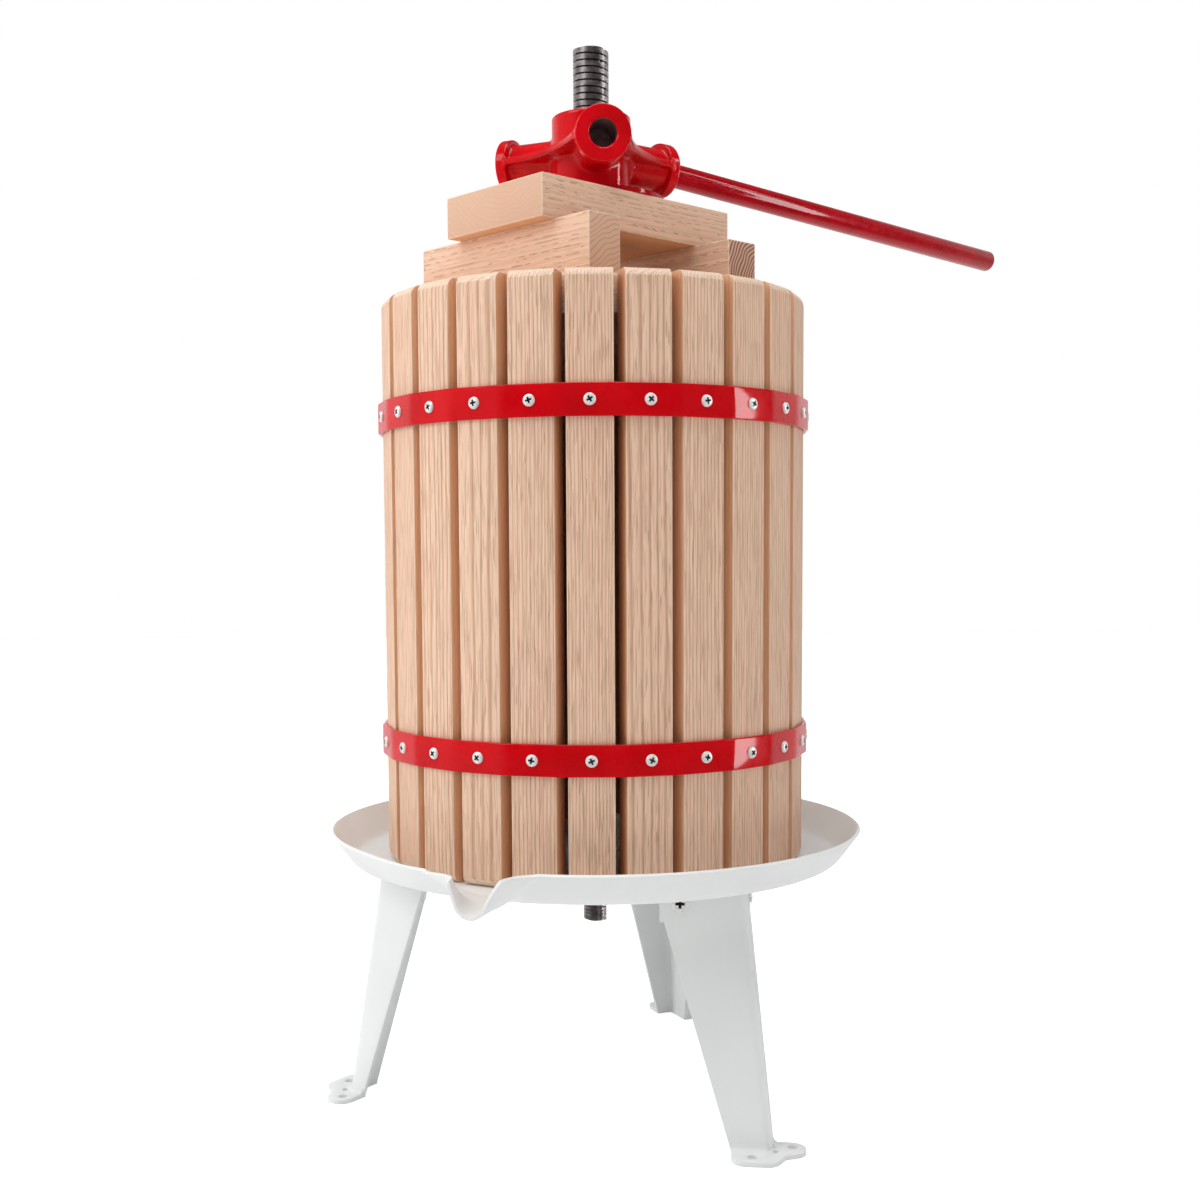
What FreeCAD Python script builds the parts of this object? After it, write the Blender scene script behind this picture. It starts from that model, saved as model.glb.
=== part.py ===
import FreeCAD, Part
import math
import os
import Sketcher

# Spindle fruit press: a slatted basket on a spouted tray with three folded legs,
# and a stack of boards pressed down by a cast nut with three handle sockets.
# Millimetres. The spindle is the Z axis and the floor is Z = 0.
# Azimuths are in degrees, 0 towards -Y (the front) and 90 towards +X.

Vector = FreeCAD.Vector
Rotation = FreeCAD.Rotation
Placement = FreeCAD.Placement

os.makedirs("parts", exist_ok=True)
doc = FreeCAD.newDocument("fruit_press")

DIMENSIONS = [
    # basket
    ("slat_count", 25, "slats round the basket"),
    ("first_slat", -1.65, "azimuth of the slat at the front"),
    ("basket_radius", 144.3, "spindle to the flat outer face of a slat"),
    ("slat_width", 29, ""),
    ("slat_thickness", 20, ""),
    ("slat_length", 380, ""),
    ("slat_end_round", 6.5, "rounding of both outer ends"),
    ("hoop_height", 20, ""),
    ("hoop_thickness", 3, ""),
    ("lower_hoop_level", 82.5, "basket bottom to the middle of the lower hoop"),
    ("upper_hoop_level", 301, "basket bottom to the middle of the upper hoop"),
    # tray
    ("tray_floor_level", 168, "floor to the top of the tray's floor"),
    ("tray_sheet", 2, ""),
    ("tray_base_radius", 170, "outside, where the wall starts"),
    ("tray_rim_radius", 185, "outside"),
    ("tray_depth", 19, "tray's floor to its rim"),
    ("spout_azimuth", -21, ""),
    ("spout_reach", 211, "spindle to the lip"),
    ("spout_mouth_width", 32, "outside, at the lip and the rim's level"),
    ("spout_mouth_round", 10, "outside, bottom of the trough at the lip"),
    ("spout_throat_reach", 192, "spindle to where the spout's flare ends"),
    ("spout_throat_width", 47, ""),
    ("spout_throat_round", 15, ""),
    ("spout_root_reach", 160, "spindle to where the flare starts, inside the wall"),
    ("spout_root_width", 96, ""),
    ("spout_root_round", 34, ""),
    ("spout_drop", 2, "fall of the spout's floor to the lip"),
    # legs
    ("leg_azimuth", 38, "first leg; the others follow at thirds of a turn"),
    ("leg_sheet", 3, ""),
    ("leg_top_radius", 152, "spindle to the leg's folded corner, at the tray"),
    ("leg_foot_radius", 177, "the same, at the foot"),
    ("leg_top_wide", 59, "wide flange, at the tray"),
    ("leg_top_narrow", 46, "narrow flange, at the tray"),
    ("leg_foot_wide", 27, "wide flange, at the foot"),
    ("leg_foot_narrow", 15, "narrow flange, at the foot"),
    ("leg_bend", 7, "outer radius of the leg's fold"),
    ("foot_tab", 20, "reach of the foot's tabs past the leg"),
    ("foot_round", 7, "rounding of the foot's tabs"),
    ("foot_shoulder", 1, "leg face to a tab's inner side"),
    ("foot_notch", 7, "leg face to the corner between the tabs"),
    ("foot_hole_radius", 3.3, ""),
    ("foot_hole_reach", 11.5, "leg face to a hole in its tab"),
    ("bracket_sheet", 2.5, ""),
    ("bracket_wide", 52, ""),
    ("bracket_narrow", 38, ""),
    ("bracket_height", 24, ""),
    ("bracket_blunting", 10, "blunt ends of the bracket's slanting edge"),
    ("bracket_play", 0.1, "bracket to leg"),
    ("leg_screw_drop", 11, "tray's underside to a leg screw"),
    ("wide_screw_inset", 43, "folded corner to the screw in the wide flange"),
    ("narrow_screw_inset", 29, "the same, in the narrow flange"),
    ("leg_screw_head_radius", 5.6, ""),
    ("leg_screw_head_height", 3, ""),
    # spindle
    ("spindle_radius", 12, "outside the thread"),
    ("spindle_top", 720, ""),
    ("spindle_bottom", 117, ""),
    ("spindle_chamfer", 2, ""),
    ("spindle_end_radius", 8, "outside its thread, from the tray's floor down"),
    ("spindle_nut_width", 36, "across flats, on the tray's floor"),
    ("spindle_nut_height", 24, ""),
    ("end_nut_width", 24, "across flats, under the tray"),
    ("end_nut_height", 14, ""),
    ("static_play", 0.05, "spindle in its own nuts and in the tray"),
    # boards
    ("press_board_radius", 121.5, ""),
    ("press_board_thickness", 24, ""),
    ("press_board_top", 548, ""),
    ("press_board_gap", 1, "between the two halves"),
    ("board_hole_play", 2, "spindle to the boards"),
    ("block_length", 168, ""),
    ("block_width", 26, ""),
    ("block_height", 40, ""),
    ("block_spacing", 130, "between the blocks' middles"),
    ("block_shift", 4, "how far the blocks sit off centre, lengthwise"),
    ("board_azimuth", 132.7, "right end of the top board, away from the front"),
    ("top_board_length", 178, ""),
    ("top_board_width", 100, ""),
    ("top_board_thickness", 27, ""),
    ("board_bevel", 1, ""),
    # cast nut
    ("plate_radius", 50, "thrust plate"),
    ("plate_thickness", 3.5, ""),
    ("nut_azimuth", 6, "front socket"),
    ("nut_height", 55.5, ""),
    ("nut_boss_radius", 27, ""),
    ("nut_boss_bevel", 2.5, ""),
    ("thread_play", 0.1, "spindle to the cast nut"),
    ("socket_level", 29, "nut's base to the sockets' axes"),
    ("socket_root_reach", 16, "spindle to the start of a socket's barrel, inside the boss"),
    ("socket_reach", 65, "spindle to a socket's face"),
    ("socket_radius", 14.5, "outside of a socket's barrel"),
    ("collar_radius", 18, ""),
    ("collar_width", 8, ""),
    ("collar_blend", 3.5, "collar down to the barrel"),
    ("bore_radius", 9.1, ""),
    ("bore_depth", 26, ""),
    ("web_thickness", 4.5, ""),
    ("web_waist", 38, "spindle to the web's edge, midway between sockets"),
    ("web_curve", 105, "radius of the web's hollow edge"),
    ("web_reach", 61, "spindle to the ends of the web"),
    # handle
    ("handle_radius", 8.2, ""),
    ("handle_length", 385, ""),
    ("handle_end_gap", 1, "handle to the bottom of the socket"),
    ("handle_seat_gap", 0.08, "handle to the socket where it leans"),
    ("handle_bevel", 3, ""),

    ("cutter_overrun", 1, "how far a cutting shape passes the face it opens"),
]

sizes = doc.addObject("Spreadsheet::Sheet", "sizes")
for row, (alias, value, meaning) in enumerate(DIMENSIONS, start=1):
    sizes.set(f"A{row}", alias)
    sizes.set(f"B{row}", str(value))
    sizes.set(f"C{row}", meaning)
    sizes.setAlias(f"B{row}", alias)
doc.recompute()


def size(alias):
    return float(sizes.get(alias))


# Formulas that several pieces share.
TRAY_UNDERSIDE = "(sizes.tray_floor_level - sizes.tray_sheet)"
TRAY_RIM = "(sizes.tray_floor_level + sizes.tray_depth)"
BOARD_HOLE = "(sizes.spindle_radius + sizes.board_hole_play)"
BLOCK_TOP = "(sizes.press_board_top + sizes.block_height)"
TOP_BOARD_TOP = f"({BLOCK_TOP} + sizes.top_board_thickness)"
NUT_BASE = f"({TOP_BOARD_TOP} + sizes.plate_thickness)"
# a leg's fold leans out along the diagonal of its own X and Y
LEG_TOP_CORNER = "(sizes.leg_top_radius / sqrt(2))"
LEG_FOOT_CORNER = "(sizes.leg_foot_radius / sqrt(2))"
LEG_LEAN = (f"(({LEG_FOOT_CORNER} - {LEG_TOP_CORNER})"
            f" / ({TRAY_UNDERSIDE} - sizes.leg_sheet))")

subparts = []


def direction(azimuth):
    angle = math.radians(azimuth)
    return Vector(math.sin(angle), -math.cos(angle), 0)


def facing(azimuth, base=Vector(0, 0, 0)):
    """Placement that turns a piece's own +X towards an azimuth."""
    return Placement(base, Rotation(Vector(0, 0, 1), azimuth - 90))


def new_body(name):
    body = doc.addObject("PartDesign::Body", name)
    body.Label = name
    subparts.append(body)
    return body


def new_sketch(body, name, role, offset=None):
    """Sketch on one of the body's own origin planes, lifted along its normal by a formula."""
    sketch = body.newObject("Sketcher::SketchObject", name)
    plane = next(f for f in body.Origin.OriginFeatures if f.Role == role)
    sketch.AttachmentSupport = [(plane, "")]
    sketch.MapMode = "FlatFace"
    if offset:
        sketch.setExpression("AttachmentOffset.Base.z", offset)
    return sketch


def bind(sketch, kind, formula, *places):
    index = sketch.addConstraint(Sketcher.Constraint(kind, *places))
    sketch.setExpression(f"Constraints[{index}]", formula)


def draw_outline(sketch, corners):
    """Closed outline, counterclockwise, through corners given as pairs of formulas."""
    count = len(corners)
    start = sketch.GeometryCount
    ring = [Vector(10 * math.cos(2 * math.pi * i / count), 10 * math.sin(2 * math.pi * i / count), 0)
            for i in range(count)]
    for i in range(count):
        sketch.addGeometry(Part.LineSegment(ring[i], ring[(i + 1) % count]), False)
    for i in range(count):
        sketch.addConstraint(Sketcher.Constraint("Coincident", start + i, 2, start + (i + 1) % count, 1))
    for i, (x, y) in enumerate(corners):
        bind(sketch, "DistanceX", x, -1, 1, start + i, 1, ring[i].x)
        bind(sketch, "DistanceY", y, -1, 1, start + i, 1, ring[i].y)


def draw_circle(sketch, x, y, radius):
    index = sketch.addGeometry(Part.Circle(Vector(5, 5, 0), Vector(0, 0, 1), 3), False)
    bind(sketch, "DistanceX", x, -1, 1, index, 3, 5.0)
    bind(sketch, "DistanceY", y, -1, 1, index, 3, 5.0)
    bind(sketch, "Radius", radius, index, 3.0)


def pad(body, name, sketch, length):
    feature = body.newObject("PartDesign::Pad", name)
    feature.Profile = sketch
    feature.setExpression("Length", length)
    return feature


def cut_through(body, name, sketch):
    """Opens the whole body along a sketch."""
    doc.recompute()
    before = body.Shape.Volume
    feature = body.newObject("PartDesign::Pocket", name)
    feature.Profile = sketch
    feature.SideType = "Symmetric"
    feature.Type = "ThroughAll"
    doc.recompute()
    if not feature.Shape.Volume < before - 1e-3:
        raise RuntimeError(f"{body.Label}: {name} cuts nothing")
    return feature


def revolve(body, name, sketch, axis, kind="Revolution"):
    feature = body.newObject(f"PartDesign::{kind}", name)
    feature.Profile = sketch
    feature.ReferenceAxis = (sketch, [axis])
    feature.Angle = 360
    return feature


def edges_where(body, test):
    doc.recompute()
    return [f"Edge{i}" for i, edge in enumerate(body.Tip.Shape.Edges, start=1) if test(edge)]


def dress(body, kind, name, amount, test):
    """Fillet or chamfer on every edge of the body so far that passes a test."""
    names = edges_where(body, test)
    if not names:
        raise RuntimeError(f"{body.Label}: {name} finds no edge")
    tip = body.Tip
    feature = body.newObject(f"PartDesign::{kind}", name)
    feature.Base = (tip, names)
    feature.setExpression("Radius" if kind == "Fillet" else "Size", amount)
    doc.recompute()
    return feature


def runs_along(edge, axis):
    """True for a straight edge parallel to an axis."""
    if edge.Curve.TypeId != "Part::GeomLine":
        return False
    return abs(abs(edge.tangentAt(edge.FirstParameter).dot(axis)) - 1) < 1e-6


def is_circle(edge, radius, level=None, axis=2):
    """True for a circle of a radius whose plane lies at a level along an axis."""
    if edge.Curve.TypeId != "Part::GeomCircle" or abs(edge.Curve.Radius - radius) > 1e-4:
        return False
    return level is None or abs(edge.Curve.Center[axis] - level) < 1e-4


# Basket: straight battens with their outer ends rounded over, inside two steel hoops.

def make_slat(index):
    slat = new_body(f"slat_{index + 1:02d}")
    plan = new_sketch(slat, f"slat_plan_{index + 1:02d}", "XY_Plane")
    draw_outline(plan, [
        ("sizes.basket_radius - sizes.slat_thickness", "-sizes.slat_width / 2"),
        ("sizes.basket_radius", "-sizes.slat_width / 2"),
        ("sizes.basket_radius", "sizes.slat_width / 2"),
        ("sizes.basket_radius - sizes.slat_thickness", "sizes.slat_width / 2"),
    ])
    pad(slat, f"slat_batten_{index + 1:02d}", plan, "sizes.slat_length")
    outer = size("basket_radius")
    dress(slat, "Fillet", f"slat_ends_{index + 1:02d}", "sizes.slat_end_round",
          lambda e: runs_along(e, Vector(0, 1, 0)) and abs(e.CenterOfMass.x - outer) < 1e-4)
    azimuth = size("first_slat") + 360 / size("slat_count") * index
    slat.Placement = facing(azimuth)
    slat.setExpression("Placement.Base.z", "sizes.tray_floor_level")


def make_hoop(name, level):
    """Strip that lies flat on every slat and bends between them."""
    hoop = new_body(name)
    for feature, kind, face in (("outside", "Additive", "(sizes.basket_radius + sizes.hoop_thickness)"),
                                ("inside", "Subtractive", "sizes.basket_radius")):
        prism = hoop.newObject(f"PartDesign::{kind}Prism", f"{name}_{feature}")
        prism.setExpression("Polygon", "sizes.slat_count")
        prism.setExpression("Circumradius", f"{face} / cos(180 deg / sizes.slat_count)")
        prism.setExpression("Height", "sizes.hoop_height")
    half_slat_turn = 180 / size("slat_count")
    hoop.Placement = facing(size("first_slat") + half_slat_turn)
    hoop.setExpression("Placement.Base.z", f"sizes.tray_floor_level + {level} - sizes.hoop_height / 2")


def add_fastener_set(name, shapes):
    fasteners = doc.addObject("Part::Feature", name)
    fasteners.Label = name
    fasteners.Shape = Part.makeCompound(shapes)
    subparts.append(fasteners)


# Tray: a spun pan with a flared wall, opened at the front into a pouring spout.
# It is one filled shape less another that lies one sheet further in.

def pan_outline(sketch, inset):
    """Half section of the filled pan on the side away from the spout, inset by its sheet or not."""
    shift = " - sizes.tray_sheet" if inset else ""
    rise = " + sizes.cutter_overrun" if inset else ""
    floor = "sizes.tray_floor_level" if inset else TRAY_UNDERSIDE
    flare = "((sizes.tray_rim_radius - sizes.tray_base_radius) / (sizes.tray_depth + sizes.tray_sheet))"
    draw_outline(sketch, [
        ("0", floor),
        (f"-(sizes.tray_base_radius{shift} + ({floor} - {TRAY_UNDERSIDE}) * {flare})", floor),
        (f"-(sizes.tray_rim_radius{shift} + (0{rise}) * {flare})", TRAY_RIM + rise),
        ("0", TRAY_RIM + rise),
    ])


def spout_section(sketch, width, round_bottom, bottom, inset, above):
    """U across the spout: a round bottom between sides that spread to the rim."""
    half = f"({width} / 2 - sizes.tray_sheet)" if inset else f"({width} / 2)"
    low = f"({bottom} + sizes.tray_sheet)" if inset else f"({bottom})"
    radius = f"({round_bottom} - sizes.tray_sheet)" if inset else f"{round_bottom}"
    level = size("tray_floor_level")
    trough = Part.Circle(Vector(0, level + 8, 0), Vector(0, 0, 1), 10)
    ends = [Vector(-20, level + 20, 0), Vector(-9.5, level + 5, 0), Vector(9.5, level + 5, 0),
            Vector(20, level + 20, 0)]
    sketch.addGeometry(Part.LineSegment(ends[0], ends[1]), False)
    sketch.addGeometry(Part.ArcOfCircle(trough, math.radians(197), math.radians(343)), False)
    sketch.addGeometry(Part.LineSegment(ends[2], ends[3]), False)
    sketch.addGeometry(Part.LineSegment(ends[3], ends[0]), False)
    left, arc, right, top = range(4)
    sketch.addConstraint(Sketcher.Constraint("Tangent", left, 2, arc, 1))
    sketch.addConstraint(Sketcher.Constraint("Tangent", arc, 2, right, 1))
    sketch.addConstraint(Sketcher.Constraint("Coincident", right, 2, top, 1))
    sketch.addConstraint(Sketcher.Constraint("Coincident", top, 2, left, 1))
    sketch.addConstraint(Sketcher.Constraint("PointOnObject", arc, 3, -2))
    bind(sketch, "Radius", radius, arc, 10.0)
    bind(sketch, "DistanceY", f"{low} + {radius}", -1, 1, arc, 3, level + 8)
    bind(sketch, "DistanceX", half, -1, 1, top, 1, 20.0)
    bind(sketch, "DistanceX", half, top, 2, -1, 1, 20.0)
    bind(sketch, "DistanceY", above, -1, 1, top, 1, level + 20)
    bind(sketch, "DistanceY", above, -1, 1, top, 2, level + 20)


def make_filled_tray(name, inset):
    """The pan and its flared spout as one filled shape, the spout running along its own +X."""
    filled = doc.addObject("PartDesign::Body", name)
    section = new_sketch(filled, f"{name}_section", "XZ_Plane")
    pan_outline(section, inset)
    revolve(filled, f"{name}_pan", section, "V_Axis")
    rise = " + sizes.cutter_overrun" if inset else ""
    fall = {"root": "0", "throat": "sizes.spout_drop / 2", "mouth": "sizes.spout_drop"}
    reach = {"root": "sizes.spout_root_reach", "throat": "sizes.spout_throat_reach",
             "mouth": "sizes.spout_reach" + rise}
    sections = []
    for place in ("root", "throat", "mouth"):
        sketch = new_sketch(filled, f"{name}_{place}", "YZ_Plane", reach[place])
        spout_section(sketch, f"sizes.spout_{place}_width", f"sizes.spout_{place}_round",
                      f"({TRAY_UNDERSIDE} - {fall[place]})", inset, TRAY_RIM + rise)
        sections.append(sketch)
    spout = filled.newObject("PartDesign::AdditiveLoft", f"{name}_spout")
    spout.Profile = sections[0]
    spout.Sections = sections[1:]
    spout.Ruled = True
    return filled


def make_tray():
    outside = make_filled_tray("tray_outside", inset=False)
    hole = new_sketch(outside, "spindle_hole", "XY_Plane")
    draw_circle(hole, "0", "0", "sizes.spindle_end_radius + sizes.static_play")
    cut_through(outside, "spindle_passage", hole)
    tray = doc.addObject("Part::Cut", "tray")
    tray.Base = outside
    tray.Tool = make_filled_tray("tray_inside", inset=True)
    tray.Label = "tray"
    tray.Placement = facing(size("spout_azimuth"))
    subparts.append(tray)


# Legs: sheet folded to a right angle, tapered, leaning out, with a tabbed foot.

def add_angle(body, name, low, top):
    """Two flat tapered flanges meeting at a corner on the diagonal, between two levels.

    low and top each give a section: its level, its outer corner, its wide and its narrow flange and
    the sheet's thickness.
    """
    for flange in ("wide", "narrow"):
        wedge = body.newObject("PartDesign::AdditiveWedge", f"{name}_{flange}")
        # the wedge's own Y runs up the body's Z, and its Z along the body's -Y
        wedge.Placement = Placement(Vector(0, 0, 0), Rotation(Vector(1, 0, 0), 90))
        for section, mark in ((low, ""), (top, "2")):
            level, corner, wide, narrow, sheet = section
            along_x, along_y = (sheet, wide) if flange == "wide" else (narrow, sheet)
            wedge.setExpression(f"X{mark}min", f"{corner} - {along_x}")
            wedge.setExpression(f"X{mark}max", corner)
            wedge.setExpression(f"Z{mark}min", f"-{corner}")
            wedge.setExpression(f"Z{mark}max", f"{along_y} - {corner}")
        wedge.setExpression("Ymin", low[0])
        wedge.setExpression("Ymax", top[0])


def leg_lean():
    """How far a leg's folded corner moves along X, and along Y, for each millimetre down."""
    fall = size("tray_floor_level") - size("tray_sheet") - size("leg_sheet")
    return (size("leg_foot_radius") - size("leg_top_radius")) / math.sqrt(2) / fall


def flange_screw(flange):
    """Placement of a leg screw's head: its Z is a flange's outward normal, its base the flange's face."""
    lean = math.atan(leg_lean())
    corner = size("leg_top_radius") / math.sqrt(2) + size("leg_screw_drop") * math.tan(lean)
    level = size("tray_floor_level") - size("tray_sheet") - size("leg_screw_drop")
    if flange == "wide":
        point = Vector(corner, corner - size("wide_screw_inset"), level)
        normal = Vector(math.cos(lean), 0, math.sin(lean))
    else:
        point = Vector(corner - size("narrow_screw_inset"), corner, level)
        normal = Vector(0, math.cos(lean), math.sin(lean))
    return Placement(point, Rotation(Vector(0, 0, 1), normal))


def on_diagonal(edge, reach):
    """True for a slanting edge whose middle lies at a reach along both X and Y."""
    centre = edge.CenterOfMass
    return abs(centre.x - reach) < 0.5 and abs(centre.y - reach) < 0.5


def make_leg(name, azimuth):
    leg = new_body(name)
    add_angle(leg, f"{name}_flange",
              ("sizes.leg_sheet", LEG_FOOT_CORNER, "sizes.leg_foot_wide", "sizes.leg_foot_narrow",
               "sizes.leg_sheet"),
              (TRAY_UNDERSIDE, LEG_TOP_CORNER, "sizes.leg_top_wide", "sizes.leg_top_narrow",
               "sizes.leg_sheet"))
    middle = (size("leg_top_radius") + size("leg_foot_radius")) / 2 / math.sqrt(2)
    dress(leg, "Fillet", f"{name}_fold_outside", "sizes.leg_bend", lambda e: on_diagonal(e, middle))
    dress(leg, "Fillet", f"{name}_fold_inside", "sizes.leg_bend - sizes.leg_sheet",
          lambda e: on_diagonal(e, middle - size("leg_sheet")))

    plate = new_sketch(leg, f"{name}_foot_plate", "XY_Plane")
    corner = LEG_FOOT_CORNER
    inner = f"{corner} - sizes.leg_sheet"
    reach = f"{corner} + sizes.foot_tab"
    notch = f"{corner} + sizes.foot_notch"
    wide_end = f"{corner} - sizes.leg_foot_wide"
    narrow_end = f"{corner} - sizes.leg_foot_narrow"
    draw_outline(plate, [
        (reach, wide_end),
        (reach, f"{corner} + sizes.foot_shoulder"),
        (notch, notch),
        (f"{corner} + sizes.foot_shoulder", reach),
        (narrow_end, reach),
        (narrow_end, inner),
        (inner, inner),
        (inner, wide_end),
    ])
    pad(leg, f"{name}_foot", plate, "sizes.leg_sheet")
    far = size("leg_foot_radius") / math.sqrt(2) + size("foot_tab")
    dress(leg, "Fillet", f"{name}_foot_corners", "sizes.foot_round",
          lambda e: runs_along(e, Vector(0, 0, 1)) and max(e.CenterOfMass.x, e.CenterOfMass.y) > far - 1e-3)
    holes = new_sketch(leg, f"{name}_foot_holes", "XY_Plane")
    draw_circle(holes, f"{corner} + sizes.foot_hole_reach", f"{corner} - sizes.leg_foot_wide / 2",
                "sizes.foot_hole_radius")
    draw_circle(holes, f"{corner} - sizes.leg_foot_narrow / 2", f"{corner} + sizes.foot_hole_reach",
                "sizes.foot_hole_radius")
    cut_through(leg, f"{name}_foot_drilling", holes)
    leg.Placement = facing(azimuth - 45)


def make_bracket(name, azimuth):
    """Corner bracket under the tray: a three-cornered plate with two walls inside the leg."""
    bracket = new_body(name)
    inset = "(sizes.leg_sheet + sizes.bracket_play)"
    spread = f"sizes.bracket_height * {LEG_LEAN}"
    top_corner = f"({LEG_TOP_CORNER} - {inset})"
    wide, narrow, sheet = "sizes.bracket_wide", "sizes.bracket_narrow", "sizes.bracket_sheet"
    low = (f"{TRAY_UNDERSIDE} - sizes.bracket_height", f"({top_corner} + {spread})",
           f"({wide} + {spread})", f"({narrow} + {spread})", sheet)
    add_angle(bracket, f"{name}_wall", low, (TRAY_UNDERSIDE, top_corner, wide, narrow, sheet))
    plate = new_sketch(bracket, f"{name}_plate_outline", "XY_Plane", f"{TRAY_UNDERSIDE} - {sheet}")
    draw_outline(plate, [
        (top_corner, top_corner),
        (f"{top_corner} - {narrow}", top_corner),
        (f"{top_corner} - {narrow}", f"{top_corner} - sizes.bracket_blunting"),
        (f"{top_corner} - sizes.bracket_blunting", f"{top_corner} - {wide}"),
        (top_corner, f"{top_corner} - {wide}"),
    ])
    pad(bracket, f"{name}_plate", plate, sheet)
    reach = (size("leg_top_radius") / math.sqrt(2) - size("leg_sheet") - size("bracket_play")
             + leg_lean() * size("bracket_height") / 2)
    dress(bracket, "Fillet", f"{name}_fold", "sizes.leg_bend - sizes.leg_sheet - sizes.bracket_play",
          lambda e: on_diagonal(e, reach) and not runs_along(e, Vector(0, 0, 1)))
    bracket.Placement = facing(azimuth - 45)


def make_leg_screws(azimuths):
    """Heads of the two screws that hold each leg to its bracket, drawn eight-sided."""
    head = doc.addObject("Part::Prism", "leg_screw_head")
    head.Polygon = 8
    head.setExpression("Circumradius", "sizes.leg_screw_head_radius")
    head.setExpression("Height", "sizes.leg_screw_head_height")
    doc.recompute()
    heads = []
    for azimuth in azimuths:
        for flange in ("wide", "narrow"):
            turned = head.Shape.copy()
            turned.Placement = facing(azimuth - 45).multiply(flange_screw(flange))
            heads.append(turned)
    add_fastener_set("leg_screws", heads)


# Spindle, with the two nuts that clamp it to the tray.

def make_spindle():
    """The thicker length stands on the tray's floor, the end goes through it."""
    spindle = new_body("spindle")
    section = new_sketch(spindle, "spindle_section", "XZ_Plane")
    draw_outline(section, [
        ("0", "sizes.spindle_bottom"),
        ("sizes.spindle_end_radius - sizes.spindle_chamfer", "sizes.spindle_bottom"),
        ("sizes.spindle_end_radius", "sizes.spindle_bottom + sizes.spindle_chamfer"),
        ("sizes.spindle_end_radius", "sizes.tray_floor_level"),
        ("sizes.spindle_radius", "sizes.tray_floor_level"),
        ("sizes.spindle_radius", "sizes.spindle_top - sizes.spindle_chamfer"),
        ("sizes.spindle_radius - sizes.spindle_chamfer", "sizes.spindle_top"),
        ("0", "sizes.spindle_top"),
    ])
    revolve(spindle, "spindle_turning", section, "V_Axis")


def hex_nut(name, width, height, bore, level):
    """A nut with its lower face at the level; the sizes are expressions."""
    nut = doc.addObject("PartDesign::Body", name)
    section = new_sketch(nut, f"{name}_section", "XY_Plane")
    flats = f"({width} / 2)"
    corner = f"({flats} / cos(30 deg))"
    draw_outline(section, [
        (corner, "0"),
        (f"{corner} / 2", flats),
        (f"-{corner} / 2", flats),
        (f"-{corner}", "0"),
        (f"-{corner} / 2", f"-{flats}"),
        (f"{corner} / 2", f"-{flats}"),
    ])
    draw_circle(section, "0", "0", f"{bore} + sizes.static_play")
    pad(nut, f"{name}_blank", section, height)
    doc.recompute()
    lifted = nut.Shape.copy()
    lifted.Placement = Placement(Vector(0, 0, level), Rotation())
    return lifted


def make_spindle_nuts():
    """The pair that clamps the tray between them."""
    floor = size("tray_floor_level")
    underside = floor - size("tray_sheet")
    add_fastener_set("spindle_nuts", [
        hex_nut("end_nut", "sizes.end_nut_width", "sizes.end_nut_height",
                "sizes.spindle_end_radius", underside - size("end_nut_height")),
        hex_nut("floor_nut", "sizes.spindle_nut_width", "sizes.spindle_nut_height",
                "sizes.spindle_radius", floor),
    ])


# Boards: two half-round press boards, two blocks across them, one board on top.

def make_press_board(name, side):
    """Half disc with its straight edge along the top board and a notch for the spindle."""
    board = doc.addObject("PartDesign::Body", f"{name}_blank")
    section = new_sketch(board, f"{name}_section", "XY_Plane")
    draw_circle(section, "0", "0", "sizes.press_board_radius")
    draw_circle(section, "0", "0", BOARD_HOLE)
    pad(board, f"{name}_disc", section, "sizes.press_board_thickness")
    half = doc.addObject("Part::Box", f"{name}_half")
    half.setExpression("Length", "sizes.press_board_radius * 3")
    half.setExpression("Width", "sizes.press_board_radius * 2")
    half.setExpression("Height", "sizes.press_board_thickness")
    half.setExpression("Placement.Base.x", "-sizes.press_board_radius * 1.5")
    beside_saw_cut = "sizes.press_board_gap / 2"
    if side < 0:
        beside_saw_cut = "-sizes.press_board_radius * 2 - sizes.press_board_gap / 2"
    half.setExpression("Placement.Base.y", beside_saw_cut)
    result = doc.addObject("Part::Common", name)
    result.Base = board
    result.Tool = half
    result.Label = name
    result.Placement = facing(size("board_azimuth"))
    result.setExpression("Placement.Base.z", "sizes.press_board_top - sizes.press_board_thickness")
    subparts.append(result)


def make_plank(name, azimuth, level, length, width, height, along="0", across="0", hole=None):
    """Squared timber with bevelled edges, its length towards an azimuth."""
    plank = new_body(name)
    plan = new_sketch(plank, f"{name}_plan", "XY_Plane")
    draw_outline(plan, [
        (f"{along} - {length} / 2", f"{across} - {width} / 2"),
        (f"{along} + {length} / 2", f"{across} - {width} / 2"),
        (f"{along} + {length} / 2", f"{across} + {width} / 2"),
        (f"{along} - {length} / 2", f"{across} + {width} / 2"),
    ])
    pad(plank, f"{name}_timber", plan, height)
    dress(plank, "Chamfer", f"{name}_edges", "sizes.board_bevel", lambda e: True)
    if hole:
        passage = new_sketch(plank, f"{name}_hole", "XY_Plane")
        draw_circle(passage, "0", "0", hole)
        cut_through(plank, f"{name}_passage", passage)
    plank.Placement = facing(azimuth)
    plank.setExpression("Placement.Base.z", level)


def make_thrust_plate():
    """Steel disc between the top board and the cast nut."""
    plate = new_body("thrust_plate")
    section = new_sketch(plate, "thrust_plate_section", "XY_Plane")
    draw_circle(section, "0", "0", BOARD_HOLE)
    draw_circle(section, "0", "0", "sizes.plate_radius")
    pad(plate, "thrust_plate_disc", section, "sizes.plate_thickness")
    plate.setExpression("Placement.Base.z", TOP_BOARD_TOP)


# Cast nut: a threaded boss, three collared sockets and a hollow-sided web.

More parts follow.
